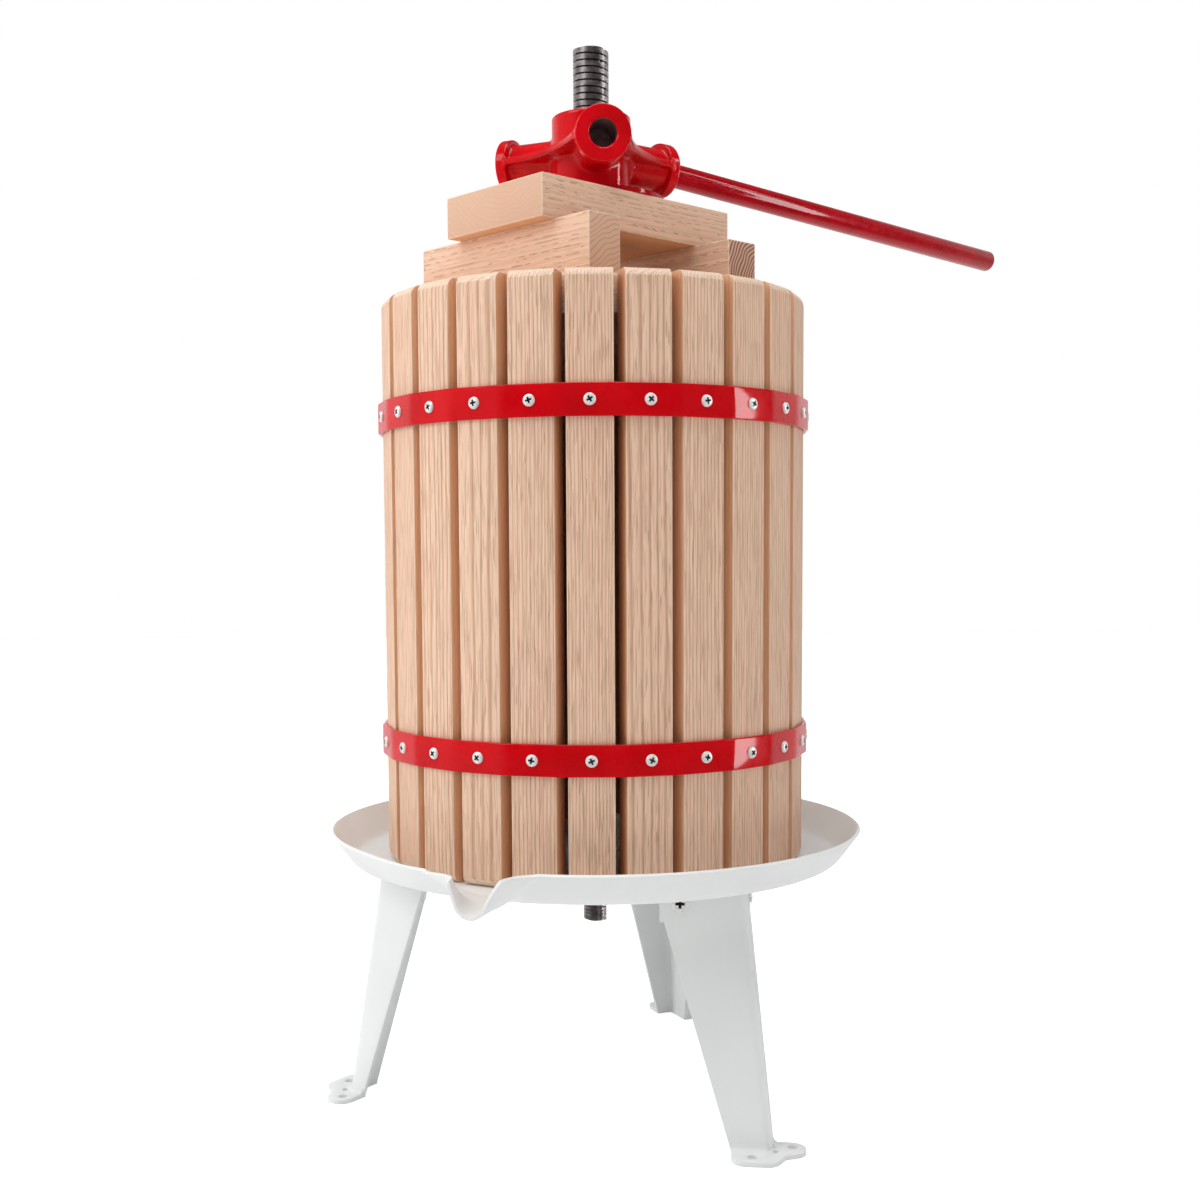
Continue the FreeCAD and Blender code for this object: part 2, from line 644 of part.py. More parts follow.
def repeat_thirds(body, name, feature):
    """Three copies of a feature round the spindle."""
    doc.recompute()
    before = body.Shape.Volume
    pattern = body.newObject("PartDesign::PolarPattern", name)
    pattern.Originals = [feature]
    axis = next(f for f in body.Origin.OriginFeatures if f.Role == "Z_Axis")
    pattern.Axis = (axis, [""])
    pattern.Angle = 360
    pattern.Occurrences = 3
    body.Tip = pattern
    doc.recompute()
    if abs(pattern.Shape.Volume - before) < 1:
        raise RuntimeError(f"{name} changes nothing")
    return pattern


def make_cast_nut():
    nut = new_body("cast_nut")
    boss = new_sketch(nut, "boss_section", "XY_Plane")
    draw_circle(boss, "0", "0", "sizes.nut_boss_radius")
    pad(nut, "boss", boss, "sizes.nut_height")
    dress(nut, "Chamfer", "boss_top", "sizes.nut_boss_bevel",
          lambda e: is_circle(e, size("nut_boss_radius"), size("nut_height")))

    web = new_sketch(nut, "web_plan", "XY_Plane", "sizes.socket_level - sizes.web_thickness / 2")
    draw_circle(web, "0", "0", "sizes.web_reach")
    pad(nut, "web", web, "sizes.web_thickness")
    hollow = new_sketch(nut, "web_hollow_plan", "XY_Plane", "sizes.socket_level - sizes.web_thickness")
    draw_circle(hollow, "-(sizes.web_waist + sizes.web_curve)", "0", "sizes.web_curve")
    hollowed = nut.newObject("PartDesign::Pocket", "web_hollow")
    hollowed.Profile = hollow
    hollowed.Reversed = True
    hollowed.setExpression("Length", "sizes.web_thickness * 2")
    repeat_thirds(nut, "web_hollows", hollowed)

    barrel = new_sketch(nut, "socket_section", "XZ_Plane")
    axis = "sizes.socket_level"
    draw_outline(barrel, [
        ("sizes.socket_root_reach", axis),
        ("sizes.socket_reach", axis),
        ("sizes.socket_reach", f"{axis} + sizes.collar_radius"),
        ("sizes.socket_reach - sizes.collar_width", f"{axis} + sizes.collar_radius"),
        ("sizes.socket_reach - sizes.collar_width - sizes.collar_blend", f"{axis} + sizes.socket_radius"),
        ("sizes.socket_root_reach", f"{axis} + sizes.socket_radius"),
    ])
    repeat_thirds(nut, "sockets", revolve(nut, "socket", barrel, "Edge1"))
    bore = new_sketch(nut, "socket_bore_section", "XZ_Plane")
    draw_outline(bore, [
        ("sizes.socket_reach - sizes.bore_depth", axis),
        ("sizes.socket_reach + sizes.cutter_overrun", axis),
        ("sizes.socket_reach + sizes.cutter_overrun", f"{axis} + sizes.bore_radius"),
        ("sizes.socket_reach - sizes.bore_depth", f"{axis} + sizes.bore_radius"),
    ])
    repeat_thirds(nut, "socket_bores", revolve(nut, "socket_bore", bore, "Edge1", "Groove"))

    thread = new_sketch(nut, "thread_bore", "XY_Plane")
    draw_circle(thread, "0", "0", "sizes.spindle_radius + sizes.thread_play")
    cut_through(nut, "thread_passage", thread)
    nut.Placement = facing(size("nut_azimuth"))
    nut.setExpression("Placement.Base.z", NUT_BASE)


# Handle: a round bar that leans in its socket, touching low at the mouth and high inside.

def make_handle():
    handle = new_body("handle")
    section = new_sketch(handle, "handle_section", "XZ_Plane")
    draw_outline(section, [
        ("0", "0"),
        ("sizes.handle_length", "0"),
        ("sizes.handle_length", "sizes.handle_radius"),
        ("0", "sizes.handle_radius"),
    ])
    revolve(handle, "handle_bar", section, "H_Axis")
    dress(handle, "Chamfer", "handle_end", "sizes.handle_bevel",
          lambda e: is_circle(e, size("handle_radius"), size("handle_length"), axis=0))
    inserted = size("bore_depth") - size("handle_end_gap")
    slack = size("bore_radius") - size("handle_radius") - size("handle_seat_gap")
    droop = math.degrees(math.atan(2 * slack / inserted))
    azimuth = size("nut_azimuth") + 120
    level = nut_base() + size("socket_level")
    pivot = direction(azimuth) * (size("socket_reach") - inserted / 2) + Vector(0, 0, level)
    lean = facing(azimuth).Rotation.multiply(Rotation(Vector(0, 1, 0), droop))
    inner_end = pivot - lean.multVec(Vector(inserted / 2 / math.cos(math.radians(droop)), 0, 0))
    handle.Placement = Placement(inner_end, lean)
    return droop


def nut_base():
    return (size("press_board_top") + size("block_height") + size("top_board_thickness")
            + size("plate_thickness"))


def build():
    for index in range(int(size("slat_count"))):
        make_slat(index)
    for end in ("lower", "upper"):
        make_hoop(f"{end}_hoop", f"sizes.{end}_hoop_level")

    make_tray()
    leg_azimuths = [size("leg_azimuth") + 120 * k for k in range(3)]
    for name, azimuth in zip(("right", "rear", "left"), leg_azimuths):
        make_leg(f"{name}_leg", azimuth)
        make_bracket(f"{name}_bracket", azimuth)
    make_leg_screws(leg_azimuths)

    make_spindle()
    make_spindle_nuts()

    make_press_board("front_press_board", -1)
    make_press_board("back_press_board", 1)
    for name, side in (("left_block", ""), ("right_block", "-")):
        make_plank(name, size("board_azimuth") + 90, "sizes.press_board_top",
                   "sizes.block_length", "sizes.block_width", "sizes.block_height",
                   along="sizes.block_shift", across=f"{side}sizes.block_spacing / 2")
    make_plank("top_board", size("board_azimuth"), BLOCK_TOP,
               "sizes.top_board_length", "sizes.top_board_width", "sizes.top_board_thickness",
               hole=BOARD_HOLE)
    make_thrust_plate()
    make_cast_nut()
    droop = make_handle()

    doc.recompute()
    for item in doc.Objects:
        if "Invalid" in item.State or "Error" in item.State:
            raise RuntimeError(f"{item.Name} failed: {item.State}")
    for piece in subparts:
        shape = piece.Shape
        if shape.isNull() or not shape.isValid() or not shape.Solids:
            raise RuntimeError(f"{piece.Label} has no sound solid")
    for piece in subparts:
        piece.Shape.exportStep(f"parts/{piece.Label}.step")
    solids = sum(len(piece.Shape.Solids) for piece in subparts)
    print(f"{len(subparts)} sub-parts, {solids} solids, handle droops {droop:.2f} degrees")


build()
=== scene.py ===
import math

import bmesh
import bpy
import numpy as np
from mathutils import Matrix, Vector


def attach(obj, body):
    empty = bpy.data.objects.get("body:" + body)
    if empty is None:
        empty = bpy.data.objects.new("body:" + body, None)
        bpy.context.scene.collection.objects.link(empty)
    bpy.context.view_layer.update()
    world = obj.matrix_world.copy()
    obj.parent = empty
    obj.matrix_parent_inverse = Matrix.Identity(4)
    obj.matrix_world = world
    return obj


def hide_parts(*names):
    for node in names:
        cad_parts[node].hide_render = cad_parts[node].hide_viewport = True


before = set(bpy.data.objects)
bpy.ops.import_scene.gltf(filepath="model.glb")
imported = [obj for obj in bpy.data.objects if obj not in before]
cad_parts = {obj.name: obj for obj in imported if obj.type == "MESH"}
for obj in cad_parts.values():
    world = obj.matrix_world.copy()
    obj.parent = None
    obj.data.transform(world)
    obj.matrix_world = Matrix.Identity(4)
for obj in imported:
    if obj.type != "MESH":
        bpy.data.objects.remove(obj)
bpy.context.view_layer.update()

# A slatted fruit press. Lengths in the dictionaries are millimetres, the scene is in metres.
# Azimuths are in degrees from the front (-Y) towards the right (+X).

mm = 0.001
scene = bpy.context.scene


def rotation(degrees, axis):
    return Matrix.Rotation(math.radians(degrees), 4, axis)


def facing(azimuth):
    # turns a piece's own +X towards an azimuth
    return rotation(azimuth - 90, "Z")


def towards(azimuth):
    angle = math.radians(azimuth)
    return Vector((math.sin(angle), -math.cos(angle), 0))


def addNode(tree, kind, inputs=None, **settings):
    node = tree.nodes.new(kind)
    for name, value in settings.items():
        setattr(node, name, value)
    for key, value in (inputs or {}).items():
        if isinstance(value, bpy.types.NodeSocket):
            tree.links.new(value, node.inputs[key])
        else:
            node.inputs[key].default_value = value
    return node


def maths(tree, operation, a, b=0.0):
    return addNode(tree, "ShaderNodeMath", {0: a, 1: b}, operation=operation).outputs[0]


def times(tree, a, b):
    return maths(tree, "MULTIPLY", a, b)


def vectorMaths(tree, operation, a, b):
    return addNode(tree, "ShaderNodeVectorMath", {0: a, 1: b}, operation=operation).outputs[0]


def stretch(tree, vector, shares):
    return vectorMaths(tree, "MULTIPLY", vector, shares)


def axisDistance(tree, vector):
    flat = stretch(tree, vector, (1, 1, 0))
    return addNode(tree, "ShaderNodeVectorMath", {0: flat}, operation="LENGTH").outputs["Value"]


def noiseOver(tree, place, scale, detail=2.0, roughness=0.5, output="Fac"):
    return addNode(tree, "ShaderNodeTexNoise", {"Vector": place, "Scale": scale, "Detail": detail,
                                                "Roughness": roughness}).outputs[output]


def marked(tree, title, output="Fac"):
    return addNode(tree, "ShaderNodeAttribute", attribute_name=title).outputs[output]


def between(tree, value, low, high, toLow=0.0, toHigh=1.0, smooth=False):
    kind = "SMOOTHSTEP" if smooth else "LINEAR"
    return addNode(tree, "ShaderNodeMapRange", {0: value, 1: low, 2: high, 3: toLow, 4: toHigh},
                   interpolation_type=kind).outputs[0]


def mixColour(tree, factor, a, b, blend="MIX"):
    # colours as sockets or as three numbers
    a, b = ((*c, 1.0) if isinstance(c, tuple) else c for c in (a, b))
    node = addNode(tree, "ShaderNodeMix", {0: factor, 6: a, 7: b}, data_type="RGBA", blend_type=blend)
    return node.outputs[2]


def newMaterial(name, colour):
    material = bpy.data.materials.new(name)
    material.use_nodes = True
    material.diffuse_color = (*colour, 1)
    tree = material.node_tree
    tree.nodes.clear()
    shader = addNode(tree, "ShaderNodeBsdfPrincipled")
    addNode(tree, "ShaderNodeOutputMaterial", {"Surface": shader.outputs[0]})
    return material, tree, shader


def mottled(name, look, scale, detail, low, roughness=0.5):
    # a finish that drifts between its colour and its shade
    material, tree, shader = newMaterial(name, look["colour"])
    place = addNode(tree, "ShaderNodeTexCoord").outputs["Object"]
    drift = noiseOver(tree, place, scale, detail, roughness)
    base = mixColour(tree, between(tree, drift, low, 0.7), look["colour"], look["shade"])
    return material, tree, shader, place, drift, base


def dress(tree, shader, base, rough, height, strength, distance):
    # plugs in what varies over the surface
    bump = addNode(tree, "ShaderNodeBump", {"Height": height, "Strength": strength, "Distance": distance})
    for title, socket in (("Base Color", base), ("Roughness", rough), ("Normal", bump.outputs[0])):
        tree.links.new(socket, shader.inputs[title])


slatLook = {
    "pale": (0.80, 0.590, 0.435),
    "rosy": (0.755, 0.490, 0.352),
    "warmShade": (0.74, 0.380, 0.185),       # painted shade for a slat's sides and back and for every underside
    "edgeHighlightAndWear": (0.90, 0.76, 0.61),       # eased edges: painted highlight where they catch the light, with some wear
    "lateWood": (0.44, 0.235, 0.135),
    "pore": (0.29, 0.125, 0.062),
    "ringWidth": 1.95,          # mm from ring to ring
    "late": (0.58, 0.84),       # where a ring darkens
    "ringWander": 1.6,          # mm that the rings wander over a slat's length
    "early": 0.70,              # share of a ring that carries pores
    "poreLimit": (0.672, 0.07),
    "poreAcross": 0.55,         # mm
    "poreAlong": 19.0,
    "pores": 0.44,              # how dark the pores and the lines are
    "lines": 0.34,
}
boardLook = {**slatLook, "ringWidth": 3.2, "late": (0.55, 0.92), "early": 0.30, "poreLimit": (0.76, 0.26),
             "poreAlong": 6.5, "poreAcross": 0.9, "pores": 0.50, "lines": 0.22}
ringedLook = {**boardLook, "lateWood": (0.24, 0.095, 0.052), "ringWidth": 2.7, "late": (0.34, 0.62),
              "ringWander": 0.7}


def timberMaterial(name, look):
    # Solid timber: rings round a distant pith, rows of open pores, fibre streaks, with painted shade on
    # shaded faces and a painted highlight on eased edges.
    # timberPlace is a point in the piece's own wood, its Z along the grain.
    material, tree, shader = newMaterial(name, look["pale"])
    inMm = stretch(tree, marked(tree, "timberPlace", "Vector"), (1000, 1000, 1000))
    drift = noiseOver(tree, stretch(tree, inMm, (0.028, 0.028, 0.0055)), 1.0, 2.0, output="Color")
    drift = vectorMaths(tree, "SUBTRACT", drift, (0.5, 0.5, 0.5))
    wander = look["ringWander"] * 2
    bent = vectorMaths(tree, "ADD", inMm, stretch(tree, drift, (wander, wander, 0)))
    uneven = noiseOver(tree, stretch(tree, bent, (0.09, 0.09, 0)), 1.0, 0.0)
    phase = maths(tree, "DIVIDE", axisDistance(tree, bent), look["ringWidth"])
    ring = maths(tree, "FRACT", maths(tree, "ADD", phase, times(tree, uneven, 1.6)))
    lateWood = times(tree, between(tree, ring, *look["late"], smooth=True),
                     between(tree, ring, 0.95, 1.0, 1.0, 0.0))

    streak = noiseOver(tree, stretch(tree, bent, (1.5, 1.5, 0.018)), 1.0, 3.0, 0.6)
    across, along = 1 / look["poreAcross"], 1 / look["poreAlong"]
    pore = noiseOver(tree, stretch(tree, bent, (across, across, along)), 1.0, 0.0)
    broken = noiseOver(tree, stretch(tree, bent, (0.5, 0.5, 0.030)), 1.0, 0.0)

    def hairlines(scale, width):
        # thin dark lines that wander along the grain
        drawn = noiseOver(tree, stretch(tree, bent, (scale, scale, scale * 0.02)), 1.0, 0.0)
        away = maths(tree, "ABSOLUTE", maths(tree, "SUBTRACT", drawn, 0.5))
        return between(tree, away, width * 0.35, width, 1.0, 0.0, smooth=True)

    lines = maths(tree, "MAXIMUM", hairlines(0.40, 0.032), times(tree, hairlines(0.75, 0.050), 0.75))
    lines = times(tree, lines, between(tree, broken, 0.42, 0.52))
    early = between(tree, ring, look["early"] * 0.3, look["early"], 1.0, 0.0, smooth=True)
    high, low = look["poreLimit"]
    limit = maths(tree, "SUBTRACT", high, times(tree, early, low))
    pore = between(tree, maths(tree, "SUBTRACT", pore, limit), 0.0, 0.05, smooth=True)
    pore = maths(tree, "MAXIMUM", times(tree, pore, look["pores"]), times(tree, lines, look["lines"]))
    endGrain = marked(tree, "timberEnd")
    pore = times(tree, pore, maths(tree, "SUBTRACT", 1.0, endGrain))

    cloud = noiseOver(tree, stretch(tree, inMm, (0.03, 0.03, 0.006)), 1.0, 2.0)
    lightness = between(tree, streak, 0.3, 0.7, 0.93, 1.07)
    grey = addNode(tree, "ShaderNodeCombineColor", {0: lightness, 1: lightness, 2: lightness}).outputs[0]
    # painted highlight on the eased edges, with some wear, broken up along the grain
    edgeHighlightAndWear = times(tree, marked(tree, "timberEdge"), between(tree, streak, 0.35, 0.65, 0.15, 0.5))
    base = look["pale"]
    for share, colour, blend in (
            (marked(tree, "timberTone"), look["rosy"], "MIX"),
            (between(tree, cloud, 0.35, 0.7, 0.0, 0.5), look["rosy"], "MIX"),
            (times(tree, lateWood, marked(tree, "timberRings")), look["lateWood"], "MIX"),
            (1.0, grey, "MULTIPLY"),
            (pore, look["pore"], "MIX"),
            (times(tree, endGrain, 0.34), look["lateWood"], "MIX"),
            # painted shade: faces marked timberShade take the warm shade colour
            (times(tree, marked(tree, "timberShade"), 0.66), look["warmShade"], "MIX"),
            (edgeHighlightAndWear, look["edgeHighlightAndWear"], "MIX")):
        base = mixColour(tree, share, base, colour, blend)
    shader.inputs["Specular IOR Level"].default_value = 0.34
    height = maths(tree, "SUBTRACT", times(tree, streak, 0.4), times(tree, pore, 1.5))
    height = maths(tree, "SUBTRACT", height, times(tree, lateWood, 0.25))
    dress(tree, shader, base, between(tree, streak, 0.3, 0.7, 0.52, 0.70), height, 0.4, 0.0003)
    return material


paintLook = {
    "hoop": {"colour": (0.60, 0.0015, 0.006), "shade": (0.50, 0.001, 0.004), "roughness": 0.24,
             "peel": 0.006},
    "casting": {"colour": (0.64, 0.0015, 0.007), "shade": (0.50, 0.001, 0.004), "roughness": 0.22,
                "peel": 0.16},
    "bar": {"colour": (0.44, 0.0015, 0.008), "shade": (0.34, 0.001, 0.005), "roughness": 0.22, "peel": 0.06},
}


def paintMaterial(name, look):
    # Gloss enamel: a little deeper where it pooled, orange peel, dust in the low spots.
    material, tree, shader, place, _, base = mottled(name, look, 38.0, 3.0, 0.35)
    speck = noiseOver(tree, place, 900.0, 2.0)
    base = mixColour(tree, between(tree, speck, 0.70, 0.80, 0.0, 0.25), base, (0.20, 0.002, 0.004))
    smear = noiseOver(tree, place, 120.0, 4.0, 0.6)
    low = look["roughness"]
    shader.inputs["Coat Weight"].default_value = 0.42
    shader.inputs["Coat Roughness"].default_value = 0.05
    shader.inputs["Specular IOR Level"].default_value = 0.06
    peel = noiseOver(tree, place, 420.0, 2.0)
    cast = noiseOver(tree, place, 150.0, 3.0, 0.55)
    height = maths(tree, "ADD", peel, times(tree, cast, 2.0))
    dress(tree, shader, base, between(tree, smear, 0.35, 0.7, low, low + 0.13), height, look["peel"], 0.0006)
    return material


coatLook = {"colour": (0.78, 0.795, 0.785), "shade": (0.74, 0.755, 0.75)}


def coatMaterial(name, look):
    # White powder coat: fine pebbled skin, faint clouding.
    material, tree, shader, place, cloud, base = mottled(name, look, 14.0, 3.0, 0.35)
    pebble = noiseOver(tree, place, 1100.0, 2.0)
    shader.inputs["Specular IOR Level"].default_value = 0.40
    dress(tree, shader, base, between(tree, cloud, 0.3, 0.7, 0.36, 0.48), pebble, 0.10, 0.0003)
    return material


steelLook = {
    "spindle": {"colour": (0.230, 0.200, 0.200), "shade": (0.46, 0.43, 0.43), "roughness": 0.27,
                "metal": 0.85, "groove": (0.0100, 0.0116), "cleanEnd": (0.150, 0.166)},
    "bore": {"colour": (0.220, 0.100, 0.105), "shade": (0.30, 0.20, 0.20), "roughness": 0.50, "metal": 0.45},
    "zinc": {"colour": (0.90, 0.90, 0.88), "shade": (0.78, 0.78, 0.77), "roughness": 0.22, "metal": 0.25},
}


def steelMaterial(name, look):
    # Steel with patches of wear, and painted shade in thread roots and screw recesses.
    material, tree, shader, place, patch, base = mottled(name, look, 190.0, 4.0, 0.4, 0.6)
    if "groove" in look:
        # painted shade: the thread's root is darkened where shade falls between the crests; it fades in from
        # 150 mm up to the tray's underside, so the stepped end below is left as it is
        grooveShade = between(tree, axisDistance(tree, place), *look["groove"], 0.85, 0.0)
        height = addNode(tree, "ShaderNodeSeparateXYZ", {0: place}).outputs["Z"]
        grooveShade = times(tree, grooveShade, between(tree, height, *look["cleanEnd"]))
        base = mixColour(tree, grooveShade, base, (0.02, 0.018, 0.018))
    # painted shade: faces marked recess, inside the screws' crossed recesses, are darkened to near black
    base = mixColour(tree, marked(tree, "recess"), base, (0.035, 0.032, 0.03))
    shader.inputs["Metallic"].default_value = look["metal"]
    low = look["roughness"]
    fine = noiseOver(tree, place, 1600.0, 2.0)
    dress(tree, shader, base, between(tree, patch, 0.3, 0.7, low, low + 0.14), fine, 0.12, 0.0002)
    return material


slatTimber = timberMaterial("planedSlats", slatLook)
boardTimber = timberMaterial("planedBoards", boardLook)
ringedTimber = timberMaterial("ringedBlock", ringedLook)
hoopPaint = paintMaterial("hoopEnamel", paintLook["hoop"])
castPaint = paintMaterial("castingEnamel", paintLook["casting"])
barPaint = paintMaterial("barEnamel", paintLook["bar"])
whiteCoat = coatMaterial("whitePowderCoat", coatLook)
darkSteel = steelMaterial("darkOxideSteel", steelLook["spindle"])
brightZinc = steelMaterial("brightZinc", steelLook["zinc"])
boreSteel = steelMaterial("drilledBore", steelLook["bore"])
print("finishes ready")


def newPiece(name, mesh, material, creaseAngle=35):
    mesh.materials.clear()
    mesh.materials.append(material)
    mesh.shade_smooth()
    mesh.set_sharp_from_angle(angle=math.radians(creaseAngle))
    piece = bpy.data.objects.new(name, mesh)
    scene.collection.objects.link(piece)
    return piece


def meshOf(name, points, faces):
    # points in millimetres; faces are turned outwards
    mesh = bpy.data.meshes.new(name)
    mesh.from_pydata([tuple(c * mm for c in p) for p in points], [], [tuple(f) for f in faces])
    tidied = bmesh.new()
    tidied.from_mesh(mesh)
    bmesh.ops.remove_doubles(tidied, verts=tidied.verts, dist=1e-7)
    bmesh.ops.recalc_face_normals(tidied, faces=tidied.faces)
    tidied.to_mesh(mesh)
    tidied.free()
    return mesh


def bandFaces(rows, count, closed=False):
    # quads between neighbouring rows of count points, each row closing on itself
    return [(k * count + i, k * count + (i + 1) % count, (k + 1) % rows * count + (i + 1) % count,
             (k + 1) % rows * count + i) for k in range(rows if closed else rows - 1) for i in range(count)]


def cappedFaces(rows, count):
    return [tuple(range(count)), tuple(range((rows - 1) * count, rows * count))] + bandFaces(rows, count)


def assign(piece, body, slot, *nodes):
    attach(piece, body)
    if nodes:
        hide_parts(*nodes)


def settle(piece):
    # swaps the piece's live modifiers for their result
    graph = bpy.context.evaluated_depsgraph_get()
    made = bpy.data.meshes.new_from_object(piece.evaluated_get(graph), preserve_all_data_layers=True,
                                           depsgraph=graph)
    piece.modifiers.clear()
    piece.data = made
    return piece


def softenEdges(piece, width, segments=2, angle=40):
    bevel = piece.modifiers.new("soften", "BEVEL")
    bevel.width = width * mm
    bevel.segments = segments
    bevel.limit_method = "ANGLE"
    bevel.angle_limit = math.radians(angle)
    settle(piece)
    piece.data.shade_smooth()
    piece.data.set_sharp_from_angle(angle=math.radians(50))
    return piece


def carve(piece, tools, operation="DIFFERENCE"):
    for tool in tools:
        boolean = piece.modifiers.new("carve", "BOOLEAN")
        boolean.solver = "EXACT"
        boolean.operation = operation
        boolean.object = tool
    settle(piece)
    for tool in tools:
        bpy.data.objects.remove(tool)
    return piece


def prism(name, outline, low, high, material):
    # closed plan outline, counterclockwise, between two levels
    count = len(outline)
    points = [(x, y, low) for x, y in outline] + [(x, y, high) for x, y in outline]
    faces = [tuple(reversed(range(count))), tuple(range(count, 2 * count))] + bandFaces(2, count)
    return newPiece(name, meshOf(name, points, faces), material)


def disc(x, y, radius, segments=32):
    turns = [2 * math.pi * i / segments for i in range(segments)]
    return [(x + radius * math.cos(t), y + radius * math.sin(t)) for t in turns]


def roundedOutline(corners, segments=6):
    # corners as (x, y, radius)
    outline = []
    for i, (x, y, radius) in enumerate(corners):
        here = Vector((x, y))
        if not radius:
            outline.append((x, y))
            continue
        before = (Vector(corners[i - 1][:2]) - here).normalized()
        after = (Vector(corners[(i + 1) % len(corners)][:2]) - here).normalized()
        half = before.angle(after) / 2
        centre = here + (before + after).normalized() * (radius / math.sin(half))
        first = here + before * (radius / math.tan(half)) - centre
        last = here + after * (radius / math.tan(half)) - centre
        turn = first.angle_signed(last)
        for s in range(segments + 1):
            arm = first.copy()
            arm.rotate(Matrix.Rotation(-turn * s / segments, 2))
            outline.append(tuple(centre + arm))
    return outline


def lathe(name, profile, segments, ring=False):
    # profile as (radius, height); a ring's profile closes on itself, any other ends on the axis
    points, loops = [], []
    for radius, height in profile:
        if radius < 1e-9:
            loops.append([len(points)] * segments)
            points.append((0, 0, height))
            continue
        loops.append([len(points) + i for i in range(segments)])
        for i in range(segments):
            turn = 2 * math.pi * i / segments
            points.append((radius * math.cos(turn), radius * math.sin(turn), height))
    if ring:
        loops.append(loops[0])
    faces = []
    for low, high in zip(loops, loops[1:]):
        for i in range(segments):
            j = (i + 1) % segments
            corners = [low[i], low[j], high[j], high[i]]
            face = [c for n, c in enumerate(corners) if c != corners[n - 1]]
            if len(face) > 2:
                faces.append(face)
    return meshOf(name, points, faces)


def newTree(name, inputs):
    # a group that takes the piece's mesh and then these inputs
    tree = bpy.data.node_groups.new(name, "GeometryNodeTree")
    tree.is_modifier = True
    for title, kind in {"Geometry": "Geometry", **inputs, "Material": "Material"}.items():
        tree.interface.new_socket(title, in_out="INPUT", socket_type=f"NodeSocket{kind}")
    tree.interface.new_socket("Geometry", in_out="OUTPUT", socket_type="NodeSocketGeometry")
    return tree, tree.nodes.new("NodeGroupInput").outputs


def geometryNode(tree, kind, inputs, **settings):
    return addNode(tree, f"GeometryNode{kind}", inputs, **settings).outputs[0]


def endTree(tree, solid, material):
    solid = geometryNode(tree, "SetMaterial", {"Geometry": solid, "Material": material})
    addNode(tree, "NodeGroupOutput", {0: solid})
    return tree


def repeatTree(name, timber=False):
    # Copies of a piece at even turns round the Z axis, each a little different.
    tree, given = newTree(name, {"Count": "Int", "First Turn": "Float", "Radius": "Float", "Level": "Float",
                                 "Own Spin": "Float", "Wobble": "Float", "Seed": "Int"})

    def random(low, high, offset, vector=False):
        kind = "FLOAT_VECTOR" if vector else "FLOAT"
        first = 0 if vector else 2
        seed = maths(tree, "ADD", given["Seed"], offset)
        node = addNode(tree, "FunctionNodeRandomValue", {first: low, first + 1: high, "Seed": seed},
                       data_type=kind)
        return node.outputs[0 if vector else 1]

    def vector(x, y, z):
        return addNode(tree, "ShaderNodeCombineXYZ", {0: x, 1: y, 2: z}).outputs[0]

    def store(geometry, title, kind, value):
        inputs = {"Geometry": geometry, "Name": title, "Value": value}
        return geometryNode(tree, "StoreNamedAttribute", inputs, data_type=kind, domain="POINT")

    def stored(title, kind):
        return geometryNode(tree, "InputNamedAttribute", {"Name": title}, data_type=kind)

    index = geometryNode(tree, "InputIndex", {})
    step = maths(tree, "DIVIDE", 2 * math.pi, given["Count"])
    turn = maths(tree, "ADD", times(tree, index, step), given["First Turn"])
    spot = vector(times(tree, maths(tree, "COSINE", turn), given["Radius"]),
                  times(tree, maths(tree, "SINE", turn), given["Radius"]), given["Level"])
    points = geometryNode(tree, "Points", {"Count": given["Count"], "Position": spot})
    spin = times(tree, random(-1.0, 1.0, 1), given["Own Spin"])
    wobble = times(tree, random(-1.0, 1.0, 2), given["Wobble"])
    pose = addNode(tree, "FunctionNodeEulerToRotation", {0: vector(spin, wobble, turn)}).outputs[0]
    if timber:
        shift = random((0.04, 0.04, -3), (0.16, 0.16, 3), 5, vector=True)
        for title, kind, value in (("timberTone", "FLOAT", random(0.0, 1.0, 3)),
                                   ("ownTurn", "FLOAT", random(-1.1, 1.1, 4)),
                                   ("ownShift", "FLOAT_VECTOR", shift)):
            points = store(points, title, kind, value)
    copies = geometryNode(tree, "InstanceOnPoints",
                          {"Points": points, "Instance": given["Geometry"], "Rotation": pose})
    solid = geometryNode(tree, "RealizeInstances", {"Geometry": copies})
    if timber:
        rolled = addNode(tree, "ShaderNodeVectorRotate", {
            "Vector": stored("timberPlace", "FLOAT_VECTOR"), "Angle": stored("ownTurn", "FLOAT")},
            rotation_type="Z_AXIS").outputs[0]
        moved = vectorMaths(tree, "ADD", rolled, stored("ownShift", "FLOAT_VECTOR"))
        solid = store(solid, "timberPlace", "FLOAT_VECTOR", moved)
    return endTree(tree, solid, given["Material"])


def growWith(piece, tree, values):
    # runs a tree on the piece and keeps the plain mesh that comes out
    live = piece.modifiers.new(tree.name, "NODES")
    live.node_group = tree
    for item in tree.interface.items_tree:
        if item.in_out == "INPUT" and item.name in values:
            live[item.identifier] = values[item.name]
    return settle(piece)


plainRepeat = repeatTree("evenRepeat")
timberRepeat = repeatTree("timberRepeat", timber=True)


